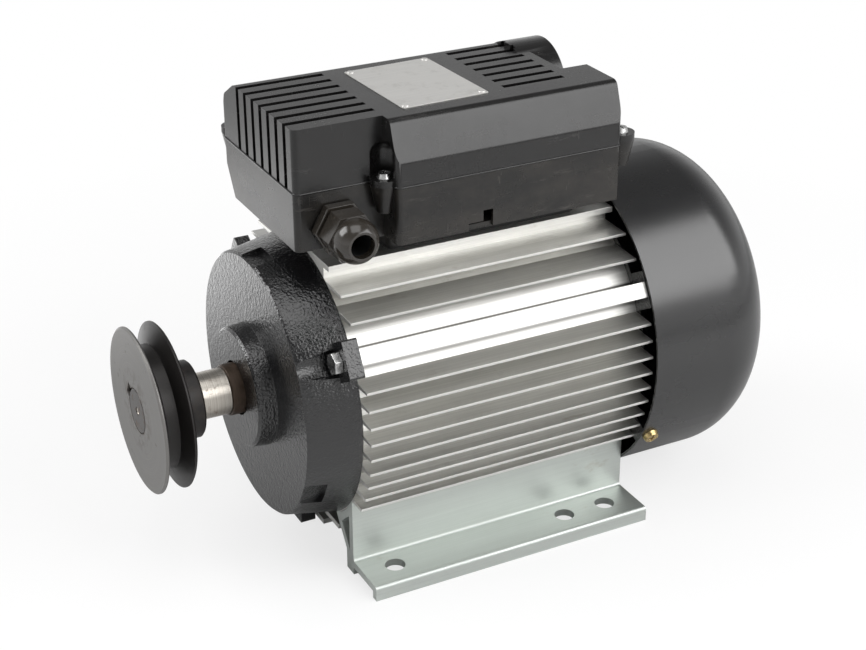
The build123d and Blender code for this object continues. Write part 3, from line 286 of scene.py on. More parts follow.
class Shader(Tree):
    """A material and the nodes that feed its Principled shader."""

    def __init__(self, name: str) -> None:
        """Start a material that has a Principled shader and an output.

        Args:
            name: Name of the material.
        """
        self.material = bpy.data.materials.new(name)
        self.material.use_nodes = True
        super().__init__(self.material.node_tree)
        self.surface = self.add("ShaderNodeBsdfPrincipled")
        self.add("ShaderNodeOutputMaterial", Surface=self.surface.outputs[0])
        self.place = self.coordinates("Object")

    def about_shaft(self) -> tuple[Wire, Wire, Wire]:
        """The place across, along and above the shaft, in metres."""
        across, along, height = self.split(self.place)
        return across, along, height - SHAFT_HEIGHT * MM

    def noise(self, pattern: Pattern) -> Wire:
        """Lay a noise on object coordinates.

        Args:
            pattern: The noise.

        Returns:
            Its value, about 0.5 in the middle.
        """
        mapping = self.add("ShaderNodeMapping", Vector=self.place, Scale=pattern.stretch)
        node = self.add(
            "ShaderNodeTexNoise",
            Vector=mapping.outputs[0],
            Scale=pattern.scale,
            Detail=pattern.detail,
            Roughness=pattern.rough,
        )
        return self.wire(node.outputs[0])

    def ramp(self, value: Wire, low: float, high: float) -> Wire:
        """Value stretched so that low gives 0 and high gives 1, and held there."""
        node = self.add(
            "ShaderNodeMapRange", {"clamp": True}, Value=value, From_Min=low, From_Max=high
        )
        return self.wire(node.outputs[0])

    def blend(self, mask: Wire, below: Any, above: Any) -> bpy.types.NodeSocket:
        """Mix two colours by a mask.

        Args:
            mask: 0 for the first colour, 1 for the second.
            below: Colour or socket where the mask is 0.
            above: Colour or socket where the mask is 1.

        Returns:
            The mixed colour's socket.
        """
        node = self.add("ShaderNodeMix", {"data_type": "RGBA"})
        self.feed(node.inputs[0], mask)
        self.feed(node.inputs[6], rgba(below))
        self.feed(node.inputs[7], rgba(above))
        return node.outputs[2]

    def relief(self, height: Wire, depth: float, strength: float) -> None:
        """Turn a height between 0 and 1 into surface relief of a depth in millimetres."""
        bump = self.add("ShaderNodeBump", Height=height, Distance=depth * MM, Strength=strength)
        self.set(Normal=bump.outputs[0])

    def set(self, **sockets: Any) -> None:
        """Set inputs of the Principled shader, named with underscores for spaces."""
        for key, value in sockets.items():
            self.feed(self.surface.inputs[key.replace("_", " ")], value)


# ------------------------------------------------------------------- finishes


@dataclass(frozen=True)
class Recipe:
    """How one finish is made."""

    finish: Finish

    def build(self) -> bpy.types.Material:
        """Make the material.

        Returns:
            The material, under the finish's name.
        """
        shader = Shader(self.finish.value)
        self.lay(shader)
        return shader.material

    def lay(self, s: Shader) -> None:
        """Lay the finish on a shader, each kind in its own way."""
        raise NotImplementedError


@dataclass(frozen=True)
class Extruded(Recipe):
    """Bare aluminium drawn through a die, with fine lines along the shaft."""

    finish: Finish = Finish.BARE_ALUMINIUM
    colour: Colour = (0.84, 0.835, 0.81)
    shade: Colour = (0.62, 0.615, 0.59)
    roughness: float = 0.36
    dull: float = 0.05
    rib_angles: tuple[float, ...] = ()
    rib_half_width: float = 4.05
    rib_shade_offset: float = 0.9
    upper_shade_width: float = 0.75
    lower_shade_width: float = 1.3
    lower_shade_strength: float = 0.7
    # colour of the painted shade in the corners beside each tie rib
    rib_shade_colour: Colour = (0.05, 0.047, 0.042)
    die_lines: Pattern = Pattern(900.0, 3.0, (1.0, 0.012, 1.0), 0.65)
    broad_lines: Pattern = Pattern(60.0, 3.0, (1.0, 0.15, 1.0))
    die_line_share: float = 0.6
    tone_band: Band = (0.30, 0.72)
    patches: Pattern = Pattern(28.0, 4.0, (1.0, 0.5, 1.0))
    stains: Pattern = Pattern(95.0, 5.0, (1.0, 0.4, 1.0), 0.7)
    stain_band: Band = (0.62, 0.74)
    stain_strength: float = 0.45
    stain_colour: Colour = (0.40, 0.36, 0.30)
    patch_roughness: float = 0.25
    line_roughness: float = 0.10
    line_depth: float = 0.05
    line_relief: float = 0.8

    def lay(self, s: Shader) -> None:
        """Lay die lines, dull patches and a few stains over bright metal, with painted shade beside
        the tie ribs.

        Args:
            s: Shader of the material.
        """
        lines = s.noise(self.die_lines)
        broad = s.noise(self.broad_lines)
        patches = s.noise(self.patches)
        stain = s.ramp(s.noise(self.stains), *self.stain_band)
        mixed_lines = lines * self.die_line_share + broad * (1.0 - self.die_line_share)
        tone = s.ramp(mixed_lines, *self.tone_band)
        metal = s.blend(tone, self.shade, self.colour)
        # painted shade along the corners above and below each tie rib
        for angle in self.rib_angles:
            metal = s.blend(self.rib_shade(s, angle), metal, self.rib_shade_colour)
        patchy = (patches - NOISE_MIDDLE) * self.patch_roughness
        s.set(
            Base_Color=s.blend(stain * self.stain_strength, metal, self.stain_colour),
            Metallic=1.0 - self.dull,
            Roughness=self.roughness + patchy + lines * self.line_roughness,
        )
        s.relief(lines, self.line_depth, self.line_relief)

    def rib_shade(self, s: Shader, angle: float) -> Wire:
        """Work out the painted shade in the two corners beside a tie rib.

        With u the distance across the rib and c the corners' distance from its middle, the mask
        is exp(-((u - c) / a)^2) above it and a wider, fainter exp(-((u + c) / b)^2) below it,
        on the rib's own side of the shaft.

        Args:
            s: Shader of the material.
            angle: Angle of the rib about the shaft, in degrees.

        Returns:
            The mask, 1 where the painted shade is darkest.
        """
        across, _, height = s.about_shaft()
        sine, cosine = math.sin(math.radians(angle)), math.cos(math.radians(angle))
        over_rib = height * cosine - across * sine
        own_side = s.ramp(height * sine + across * cosine, 0.0, MM)
        corner = (self.rib_half_width + self.rib_shade_offset) * MM
        upper = ((over_rib - corner) / (self.upper_shade_width * MM)).bell()
        lower = ((over_rib + corner) / (self.lower_shade_width * MM)).bell()
        return (upper + lower * self.lower_shade_strength).at_most(1.0) * own_side


@dataclass(frozen=True)
class CastPaint(Recipe):
    """Gloss black paint over a rough sand casting."""

    finish: Finish = Finish.BLACK_CASTING
    colour: Colour = (0.006, 0.006, 0.0065)
    roughness: float = 0.13
    gloss: float = 0.85
    lumps: Pattern = Pattern(300.0, 2.0)
    grain: Pattern = Pattern(800.0, 2.0)
    lump_share: float = 0.4
    relief_depth: float = 0.60
    relief_strength: float = 1.0
    dust: Pattern = Pattern(80.0, 5.0, rough=0.75)
    dust_band: Band = (0.58, 0.82)
    dust_strength: float = 0.25
    dust_roughness: float = 0.25
    dust_colour: Colour = (0.035, 0.032, 0.029)

    def lay(self, s: Shader) -> None:
        """Lay dusty paint over the lumps and pits of the casting.

        Args:
            s: Shader of the material.
        """
        lumps = s.noise(self.lumps)
        grain = s.noise(self.grain)
        dust = s.ramp(s.noise(self.dust), *self.dust_band)
        s.set(
            Base_Color=s.blend(dust * self.dust_strength, self.colour, self.dust_colour),
            Roughness=self.roughness + dust * self.dust_roughness,
            Specular_IOR_Level=self.gloss,
        )
        height = lumps * self.lump_share + grain * (1.0 - self.lump_share)
        s.relief(height, self.relief_depth, self.relief_strength)


@dataclass(frozen=True)
class SheetPaint(Recipe):
    """Satin black paint on a deep-drawn sheet."""

    finish: Finish = Finish.BLACK_SHEET
    colour: Colour = (0.006, 0.006, 0.0065)
    roughness: float = 0.27
    gloss: float = 0.95
    peel: Pattern = Pattern(700.0, 2.0)
    peel_depth: float = 0.04
    peel_relief: float = 0.5
    wipe: Pattern = Pattern(22.0, 4.0, (1.0, 0.45, 1.0), 0.6)
    wipe_roughness: float = 0.20
    specks: Pattern = Pattern(520.0, 2.0)
    speck_band: Band = (0.70, 0.80)
    speck_strength: float = 0.35
    speck_colour: Colour = (0.10, 0.095, 0.09)

    def lay(self, s: Shader) -> None:
        """Lay faint orange peel, wiped dust and small specks.

        Args:
            s: Shader of the material.
        """
        peel = s.noise(self.peel)
        wipe = s.noise(self.wipe)
        specks = s.ramp(s.noise(self.specks), *self.speck_band)
        s.set(
            Base_Color=s.blend(specks * self.speck_strength, self.colour, self.speck_colour),
            Roughness=self.roughness + (wipe - NOISE_MIDDLE) * self.wipe_roughness,
            Specular_IOR_Level=self.gloss,
        )
        s.relief(peel, self.peel_depth, self.peel_relief)


@dataclass(frozen=True)
class Moulded(Recipe):
    """Injection-moulded plastic with a spark-eroded grain and handling marks."""

    colour: Colour
    roughness: float = 0.38
    grain_depth: float = 0.04
    scuff: float = 0.6
    scuff_colour: Colour = (0.10, 0.096, 0.09)
    sheen: float = 0.40
    dust: float = 0.0
    dust_colour: Colour = (0.040, 0.035, 0.029)
    dust_pattern: Pattern = Pattern(38.0, 5.0, (1.0, 0.6, 1.0), 0.7)
    dust_band: Band = (0.40, 0.68)
    grain: Pattern = Pattern(2600.0, 2.0)
    grain_relief: float = 0.6
    cloud: Pattern = Pattern(26.0, 4.0, rough=0.65)
    cloud_roughness: float = 0.22
    rubs: Pattern = Pattern(150.0, 5.0, (1.0, 0.25, 1.6), 0.75)
    rub_band: Band = (0.60, 0.78)
    rub_strength: float = 0.5
    rub_roughness: float = 0.12
    scratches: Pattern = Pattern(620.0, 3.0, (1.0, 1.0, 0.10), 0.6)
    scratch_band: Band = (0.64, 0.74)
    scratched_area: Pattern = Pattern(32.0, 3.0, (1.0, 1.0, 2.0))
    scratched_band: Band = (0.56, 0.68)
    scratch_strength: float = 1.6

    def lay(self, s: Shader) -> None:
        """Lay fine grain, cloudy sheen, dust, rubs along the shaft and upright scratches.

        Args:
            s: Shader of the material.
        """
        grain = s.noise(self.grain)
        cloud = s.noise(self.cloud)
        rubs = s.ramp(s.noise(self.rubs), *self.rub_band)
        scratches = s.ramp(s.noise(self.scratches), *self.scratch_band)
        scratched = s.ramp(s.noise(self.scratched_area), *self.scratched_band)
        rubs = rubs.at_least(scratches * scratched * self.scratch_strength)
        dusty = s.ramp(s.noise(self.dust_pattern), *self.dust_band) * self.dust
        plastic = s.blend(dusty, self.colour, self.dust_colour)
        cloudy = (cloud - NOISE_MIDDLE) * self.cloud_roughness
        s.set(
            Base_Color=s.blend(rubs * self.scuff * self.rub_strength, plastic, self.scuff_colour),
            Roughness=self.roughness + cloudy + rubs * self.rub_roughness,
            Specular_IOR_Level=self.sheen,
        )
        s.relief(grain, self.grain_depth, self.grain_relief)


@dataclass(frozen=True)
class DarkenedEnd:
    """A darkened end of a turned piece, by its station along the shaft in millimetres.

    The dark lies beyond the station or before it, and hides a share of the bare metal. On the
    pulley it is painted shade over the groove, the rear flange and the hub; on the shaft it is a
    darker end face.
    """

    station: float
    fade: float
    colour: Colour
    cover: float
    beyond: bool

    def mask(self, s: Shader, along: Wire) -> Wire:
        """Work out where the piece is black.

        Args:
            s: Shader of the material.
            along: Station along the shaft, in metres.

        Returns:
            The mask, 1 where the piece is black.
        """
        if self.beyond:
            return s.ramp(along, self.station * MM, (self.station + self.fade) * MM)
        return 1.0 - s.ramp(along, (self.station - self.fade) * MM, self.station * MM)


@dataclass(frozen=True)
class Turned(Recipe):
    """Metal turned in a lathe: fine rings about the shaft, and rust where it is bare."""

    colour: Colour
    shade: Colour
    roughness: float = 0.28
    metallic: float = 1.0
    rust: float = 0.0
    rust_colour: Colour = (0.16, 0.085, 0.045)
    rusty_radius: float = 0.0
    dark_ends: tuple[DarkenedEnd, ...] = ()
    ring_spread: float = 3.0
    ring_scale: float = 700.0
    ring_detail: float = 2.0
    ring_band: Band = (0.3, 0.7)
    ring_share: float = 0.5
    ring_roughness: float = 0.12
    marks: Pattern = Pattern(180.0, 5.0, rough=0.7)
    spot_band: Band = (0.66, 0.80)
    spot_growth: Band = (0.26, 0.20)
    inner_spot_band: Band = (0.46, 0.62)
    inner_spot_start: float = 0.5
    least_rust_tint: float = 0.35
    least_rust_cover: float = 0.5
    rust_roughness: float = 0.30
    relief_depth: float = 0.06
    relief_strength: float = 0.7

    def lay(self, s: Shader) -> None:
        """Lay rings worked out from the distance to the shaft and the station along it.

        Rust grows from the marks, and gathers inside the rusty radius.

        Args:
            s: Shader of the material.
        """
        across, along, height = s.about_shaft()
        radius = across.hypot(height)
        spread = self.ring_spread
        turned = s.add("ShaderNodeCombineXYZ", X=radius * spread, Y=along * spread)
        ring_noise = s.add(
            "ShaderNodeTexNoise",
            Vector=turned.outputs[0],
            Scale=self.ring_scale,
            Detail=self.ring_detail,
        )
        rings = s.wire(ring_noise.outputs[0])
        marks = s.noise(self.marks)
        levels = zip(self.spot_band, self.spot_growth)
        spots = s.ramp(marks, *(level - growth * self.rust for level, growth in levels))
        if self.rusty_radius:
            rim = self.rusty_radius * MM
            inner = 1.0 - s.ramp(radius, rim * self.inner_spot_start, rim)
            spots = spots.at_least(s.ramp(marks, *self.inner_spot_band) * inner)
        metal = s.blend(s.ramp(rings, *self.ring_band), self.shade, self.colour)
        bare = 1.0 - spots * min(1.0, self.least_rust_cover + self.rust)
        # darkened ends; the pulley's is painted shade over its groove, rear flange and hub
        for end in self.dark_ends:
            black = end.mask(s, along)
            metal = s.blend(black, metal, end.colour)
            bare = bare * (1.0 - black * end.cover)
        tint = spots * min(1.0, self.least_rust_tint + self.rust)
        s.set(
            Base_Color=s.blend(tint, metal, self.rust_colour),
            Metallic=bare * self.metallic,
            Roughness=self.roughness + rings * self.ring_roughness + spots * self.rust_roughness,
        )
        relief = rings * self.ring_share + marks * (1.0 - self.ring_share)
        s.relief(relief, self.relief_depth, self.relief_strength)


@dataclass(frozen=True)
class Plated(Recipe):
    """Plated or polished steel hardware, slightly mottled."""

    colour: Colour
    shade: Colour
    roughness: float = 0.25
    metallic: float = 1.0
    cloud: Pattern = Pattern(400.0, 4.0)
    cloud_band: Band = (0.35, 0.65)
    cloud_roughness: float = 0.2
    cloud_depth: float = 0.03
    cloud_relief: float = 0.5

    def lay(self, s: Shader) -> None:
        """Lay cloudy plating.

        Args:
            s: Shader of the material.
        """
        cloud = s.noise(self.cloud)
        s.set(
            Base_Color=s.blend(s.ramp(cloud, *self.cloud_band), self.shade, self.colour),
            Metallic=self.metallic,
            Roughness=self.roughness + (cloud - NOISE_MIDDLE) * self.cloud_roughness,
        )
        s.relief(cloud, self.cloud_depth, self.cloud_relief)


@dataclass(frozen=True)
class Wound(Recipe):
    """Varnished copper wire laid around the shaft."""

    finish: Finish = Finish.COPPER_WIRE
    colour: Colour = (0.50, 0.20, 0.07)
    gap_shade_colour: Colour = (0.10, 0.035, 0.015)
    gap_shade_band: Band = (0.0, 0.5)
    metallic: float = 0.6
    roughness: float = 0.35
    varnish: float = 0.4
    slant: float = 0.8
    wander: float = 0.004
    wander_pattern: Pattern = Pattern(60.0)
    radians_per_metre: float = 5200.0
    wire_depth: float = 0.5
    wire_relief: float = 0.8

    def lay(self, s: Shader) -> None:
        """Lay wires with painted shade in the gaps between them.

        With r the distance from the shaft and y the station along it, the wires' height is
        (1 + sin(k (r + slant y + wander noise))) / 2.

        Args:
            s: Shader of the material.
        """
        across, along, height = s.about_shaft()
        wandering = s.noise(self.wander_pattern) * self.wander
        laid = across.hypot(height) + along * self.slant + wandering
        wires = (laid * self.radians_per_metre).sine() * 0.5 + 0.5
        # painted shade in the gaps between the wires
        s.set(
            Base_Color=s.blend(s.ramp(wires, *self.gap_shade_band), self.gap_shade_colour, self.colour),
            Metallic=self.metallic,
            Roughness=self.roughness,
            Coat_Weight=self.varnish,
        )
        s.relief(wires, self.wire_depth, self.wire_relief)


@dataclass(frozen=True)
class PlateMetal(Recipe):
    """Blank satin aluminium plate, brushed along the motor and worn in patches."""

    finish: Finish = Finish.BLANK_PLATE
    colour: Colour = (0.66, 0.65, 0.63)
    shade: Colour = (0.54, 0.535, 0.515)
    metallic: float = 0.55
    roughness: float = 0.42
    brush: Pattern = Pattern(1500.0, 2.0, (1.0, 0.03, 1.0))
    brush_depth: float = 0.02
    brush_relief: float = 0.5
    wear: Pattern = Pattern(120.0, 4.0, rough=0.7)
    wear_band: Band = (0.55, 0.75)
    wear_strength: float = 0.4
    wear_roughness: float = 0.15
    wear_colour: Colour = (0.36, 0.35, 0.33)

    def lay(self, s: Shader) -> None:
        """Lay brush lines and worn patches.

        Args:
            s: Shader of the material.
        """
        brush = s.noise(self.brush)
        wear = s.ramp(s.noise(self.wear), *self.wear_band)
        metal = s.blend(brush, self.shade, self.colour)
        s.set(
            Base_Color=s.blend(wear * self.wear_strength, metal, self.wear_colour),
            Metallic=self.metallic,
            Roughness=self.roughness + wear * self.wear_roughness,
        )
        s.relief(brush, self.brush_depth, self.brush_relief)


RECIPES: tuple[Recipe, ...] = (
    # painted shade beside the housing's three tie ribs
    Extruded(rib_angles=(30.0, 150.0, 270.0)),
    CastPaint(),
    SheetPaint(),
    Moulded(Finish.BLACK_PLASTIC, (0.0075, 0.0071, 0.0070), 0.25, sheen=0.60),
    Moulded(
        Finish.DUSTY_PLASTIC,
        colour=(0.008, 0.0074, 0.0069),
        roughness=0.28,
        scuff=0.8,
        scuff_colour=(0.12, 0.11, 0.10),
        sheen=0.50,
        dust=0.6,
    ),
    Moulded(Finish.WHITE_PLASTIC, (0.74, 0.74, 0.72), 0.45, scuff_colour=(0.55, 0.53, 0.5)),
    Moulded(
        Finish.GREY_NYLON,
        colour=(0.024, 0.020, 0.016),
        roughness=0.18,
        grain_depth=0.02,
        scuff=0.9,
        scuff_colour=(0.16, 0.14, 0.11),
        sheen=0.7,
        dust=0.5,
    ),
    Moulded(Finish.BLACK_RUBBER, (0.012, 0.012, 0.012), 0.62, 0.05, 0.3, (0.06, 0.06, 0.06)),
    Moulded(Finish.BROWN_BOARD, (0.20, 0.10, 0.05), 0.40, 0.05, 0.3, (0.30, 0.18, 0.10)),
    Turned(
        Finish.BRIGHT_STEEL,
        colour=(0.66, 0.63, 0.58),
        shade=(0.42, 0.38, 0.33),
        roughness=0.24,
        rust=0.35,
        dark_ends=(DarkenedEnd(-168.0, 0.1, (0.035, 0.030, 0.027), 0.6, beyond=False),),
    ),
    Turned(
        Finish.BROWN_STEEL,
        colour=(0.085, 0.060, 0.042),
        shade=(0.045, 0.032, 0.024),
        roughness=0.34,
        metallic=0.75,
        rust=0.75,
        rust_colour=(0.05, 0.028, 0.016),
    ),
    Turned(
        Finish.MACHINED_IRON,
        colour=(0.25, 0.243, 0.235),
        shade=(0.18, 0.175, 0.168),
        roughness=0.33,
        metallic=0.85,
        rust=0.1,
        rust_colour=(0.085, 0.060, 0.045),
        rusty_radius=24.0,
        # painted shade: the pulley is dark behind its front face, over the groove, the rear flange
        # and the hub
        dark_ends=(DarkenedEnd(-167.4, 0.5, (0.022, 0.020, 0.019), 0.5, beyond=True),),
    ),
    Turned(Finish.CORE_STEEL, (0.30, 0.30, 0.31), (0.12, 0.12, 0.13), 0.35, 0.9),
    Turned(Finish.BEARING_STEEL, (0.70, 0.70, 0.71), (0.50, 0.50, 0.51), 0.14),
    Plated(Finish.ZINC_STEEL, (0.66, 0.66, 0.65), (0.40, 0.40, 0.40), 0.26),
    Plated(Finish.PRESSED_STEEL, (0.55, 0.54, 0.50), (0.36, 0.35, 0.32), 0.33),
    Plated(Finish.YELLOW_ZINC, (0.72, 0.56, 0.27), (0.40, 0.30, 0.14), 0.28),
    Plated(Finish.BRASS_PARTS, (0.74, 0.54, 0.22), (0.48, 0.33, 0.12), 0.26),
    Wound(),
    PlateMetal(),
    Extruded(Finish.DRAWN_FOOT, (0.63, 0.665, 0.635), (0.54, 0.57, 0.545), 0.42, 0.15),
)


class Finishes:
    """The materials of the motor, by finish."""

    def __init__(self) -> None:
        """Build every material."""
        self.materials = {recipe.finish: recipe.build() for recipe in RECIPES}

    def __getitem__(self, finish: Finish) -> bpy.types.Material:
        """The material of a finish."""
        return self.materials[finish]


# ----------------------------------------------------------- mesh from arrays


def finish_mesh(name: str, mesh: bpy.types.Mesh, material: bpy.types.Material) -> bpy.types.Object:
    """Merge doubles, turn faces outwards, shade smooth and link the object.

    Args:
        name: Name of the piece.
        mesh: Its mesh, in metres.
        material: Its finish.

    Returns:
        The linked object, at the origin, with its sharp edges kept.
    """
    work = bmesh.new()
    work.from_mesh(mesh)
    bmesh.ops.remove_doubles(work, verts=work.verts, dist=MERGE_DISTANCE)
    bmesh.ops.dissolve_degenerate(work, edges=work.edges, dist=MERGE_DISTANCE)
    bmesh.ops.recalc_face_normals(work, faces=work.faces)
    work.to_mesh(mesh)
    work.free()
    mesh.shade_smooth()
    mesh.set_sharp_from_angle(angle=math.radians(SHARP_ANGLE))
    mesh.materials.clear()
    mesh.materials.append(material)
    piece = bpy.data.objects.new(name, mesh)
    bpy.context.scene.collection.objects.link(piece)
    return piece


def ring_faces(rows: int, columns: int) -> np.ndarray:
    """Quads between neighbouring points of a grid that closes both ways.

    Point (i, j) is number i * columns + j, and the last row and column join the first.

    Args:
        rows: Number of rows.
        columns: Number of columns.

    Returns:
        One row of four corner numbers for each quad.
    """
    i, j = np.meshgrid(np.arange(rows), np.arange(columns), indexing="ij")
    i2, j2 = (i + 1) % rows, (j + 1) % columns
    corners = [i * columns + j, i2 * columns + j, i2 * columns + j2, i * columns + j2]
    return np.stack(corners, axis=-1).reshape(-1, 4)


def rounded(outline: Sequence[tuple[float, float]], cut: float, steps: int) -> np.ndarray:
    """A closed outline with each corner cut back and bowed.

    Each corner becomes points on the quadratic curve from the cut before it to the cut after it,
    with the corner as its control point.

    Args:
        outline: Corners.
        cut: Distance cut off each side of a corner, held under half of the side.
        steps: Points at each corner, less one.

    Returns:
        The new outline.
    """
    longest_cut = 0.45
    corner = np.asarray(outline, float)
    before = np.roll(corner, 1, axis=0) - corner
    after = np.roll(corner, -1, axis=0) - corner
    span_before = np.linalg.norm(before, axis=1, keepdims=True)
    span_after = np.linalg.norm(after, axis=1, keepdims=True)
    start = corner + before / span_before * np.minimum(cut, span_before * longest_cut)
    end = corner + after / span_after * np.minimum(cut, span_after * longest_cut)
    t = np.linspace(0.0, 1.0, steps + 1)[None, :, None]
    bow = (1 - t) ** 2 * start[:, None] + 2 * t * (1 - t) * corner[:, None] + t**2 * end[:, None]
    return bow.reshape(-1, 2)


def softened(
    frame: dict[str, Any], node: str, material: bpy.types.Material, width: float
) -> bpy.types.Object:
    """A copy of a CAD node with its doubles merged, flat faces joined and edges rounded.

    Args:
        frame: The loaded frame.
        node: Name of the node.
        material: Finish of the copy.
        width: Width of the rounded edges in millimetres.

    Returns:
        The copy, which stands for the node.
    """
    mesh = frame["nodes"][node].data.copy()
    work = bmesh.new()
    work.from_mesh(mesh)
    bmesh.ops.remove_doubles(work, verts=work.verts, dist=CAD_MERGE_DISTANCE)
    flat = math.radians(FLAT_ANGLE)
    bmesh.ops.dissolve_limit(work, angle_limit=flat, verts=work.verts, edges=work.edges)
    work.to_mesh(mesh)
    work.free()
    piece = finish_mesh(f"{node}_dressed", mesh, material)
    bevel = piece.modifiers.new("edges", "BEVEL")
    bevel.width = width * MM
    bevel.segments = EDGE_SEGMENTS
    bevel.limit_method = "ANGLE"
    bevel.angle_limit = math.radians(ROUNDED_ANGLE)
    level = piece.modifiers.new("normals", "WEIGHTED_NORMAL")
    level.keep_sharp = True
    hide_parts(node)
    return piece


def round_inside(piece: bpy.types.Object, low: Point, high: Point, width: float) -> None:
    """Round the sharp outer edges whose middles lie inside a box, before the other edges.

    Args:
        piece: Softened copy of a node.
        low: Lowest corner of the box in millimetres.
        high: Highest corner of the box in millimetres.
        width: Width of the rounding in millimetres.
    """
    work = bmesh.new()
    work.from_mesh(piece.data)
    weights = work.edges.layers.float
    weight = weights.get("bevel_weight_edge") or weights.new("bevel_weight_edge")
    least_angle = math.radians(ROUNDED_ANGLE)
    for edge in work.edges:
        middle = np.array((edge.verts[0].co + edge.verts[1].co) / 2) / MM
        inside = np.all((middle > low) & (middle < high))
        if inside and edge.is_manifold and edge.calc_face_angle_signed() > least_angle:
            edge[weight] = 1.0
    work.to_mesh(piece.data)
    work.free()
    bevel = piece.modifiers.new("wide_edges", "BEVEL")
    bevel.width = width * MM
    bevel.segments = WIDE_EDGE_SEGMENTS
    bevel.limit_method = "WEIGHT"
    piece.modifiers.move(len(piece.modifiers) - 1, 0)


# ------------------------------------------------------------- sub-assemblies


@dataclass
class Dresser:
    """Base of the sub-assemblies: lays finishes on nodes and rides pieces on their bodies."""

    frame: dict[str, Any]
    finishes: Finishes

    def paint(self, finish: Finish, *nodes: str) -> None:
        """Give CAD nodes a finish, in the material slots of their objects.

        Args:
            finish: The finish.
            nodes: Names of the nodes.
        """
        for node in nodes:
            thing = self.frame["nodes"][node]
            if not thing.data.materials:
                thing.data.materials.append(self.finishes[finish])
            for slot in thing.material_slots:
                slot.material = self.finishes[finish]
            LOG.info("node %s: %s", node, finish.value)

    def soften(
        self, finish: Finish, width: float, *nodes: str, slot: Finish | None = None
    ) -> list[bpy.types.Object]:
        """Replace CAD nodes with copies that have rounded edges.

        Args:
            finish: Finish of the copies.
            width: Width of the rounded edges in millimetres.
            nodes: Names of the nodes.
            slot: Finish passed on to keep in place of their own, if given.

        Returns:
            The copies.
        """
        pieces = [softened(self.frame, node, self.finishes[finish], width) for node in nodes]
        for node, piece in zip(nodes, pieces):
            self.keep(piece, self.body_of(node), (slot or finish).value)
        return pieces

    def keep(self, piece: bpy.types.Object, body: str, slot: str) -> None:
        """Ride a piece on its body.

        Args:
            piece: The piece.
            body: Name of the body.
            slot: Name of the slot; not used.
        """
        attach(piece, body)
        LOG.info("piece %s on %s", piece.name, body)

    def body_of(self, node: str) -> str:
        """Find the body that holds a node.

        Args:
            node: Name of the node.

        Returns:
            Name of the body.
        """
        for body, members in self.frame["record"]["behaviour"]["bodies"].items():
            if node in members:
                return body
        raise KeyError(node)


@dataclass
class Carcass(Dresser):
    """Housing, feet and end shields."""

    fin_edge: float = 0.35
    casting_edge: float = 1.1
    bolt_edge: float = 0.5

    def build(self) -> None:
        """Dress the structure."""
        self.soften(Finish.BARE_ALUMINIUM, self.fin_edge, "housing")
        feet = ("foot_right", "foot_left")
        self.soften(Finish.DRAWN_FOOT, self.fin_edge, *feet, slot=Finish.BARE_ALUMINIUM)
        self.soften(Finish.BLACK_CASTING, self.casting_edge, "drive_end_shield", "fan_end_shield")
        self.soften(Finish.ZINC_STEEL, self.bolt_edge, "drive_shield_bolts", "fan_shield_bolts")


@dataclass
class Cowl(Dresser):
    """Fan cowl, its screws and the fan."""

    sheet_edge: float = 0.3
    screw_edge: float = 0.3
    blade_edge: float = 0.6

    def build(self) -> None:
        """Dress the cowl and the fan."""
        self.soften(Finish.BLACK_SHEET, self.sheet_edge, "fan_cowl")
        self.soften(Finish.YELLOW_ZINC, self.screw_edge, "cowl_screws")
        self.soften(Finish.BLACK_PLASTIC, self.blade_edge, "cooling_fan")
        self.paint(Finish.PRESSED_STEEL, "fan_circlip")


@dataclass
class Drive(Dresser):
    """Shaft, key, sleeve and pulley."""

    pulley_edge: float = 0.5
    shaft_edge: float = 0.3

    def build(self) -> None:
        """Dress what turns outside the shield."""
        self.soften(Finish.MACHINED_IRON, self.pulley_edge, "pulley")
        self.soften(Finish.BRIGHT_STEEL, self.shaft_edge, "shaft", "shaft_key")
        self.soften(Finish.BROWN_STEEL, self.shaft_edge, "wear_sleeve")
        self.paint(Finish.ZINC_STEEL, "pulley_set_screw")


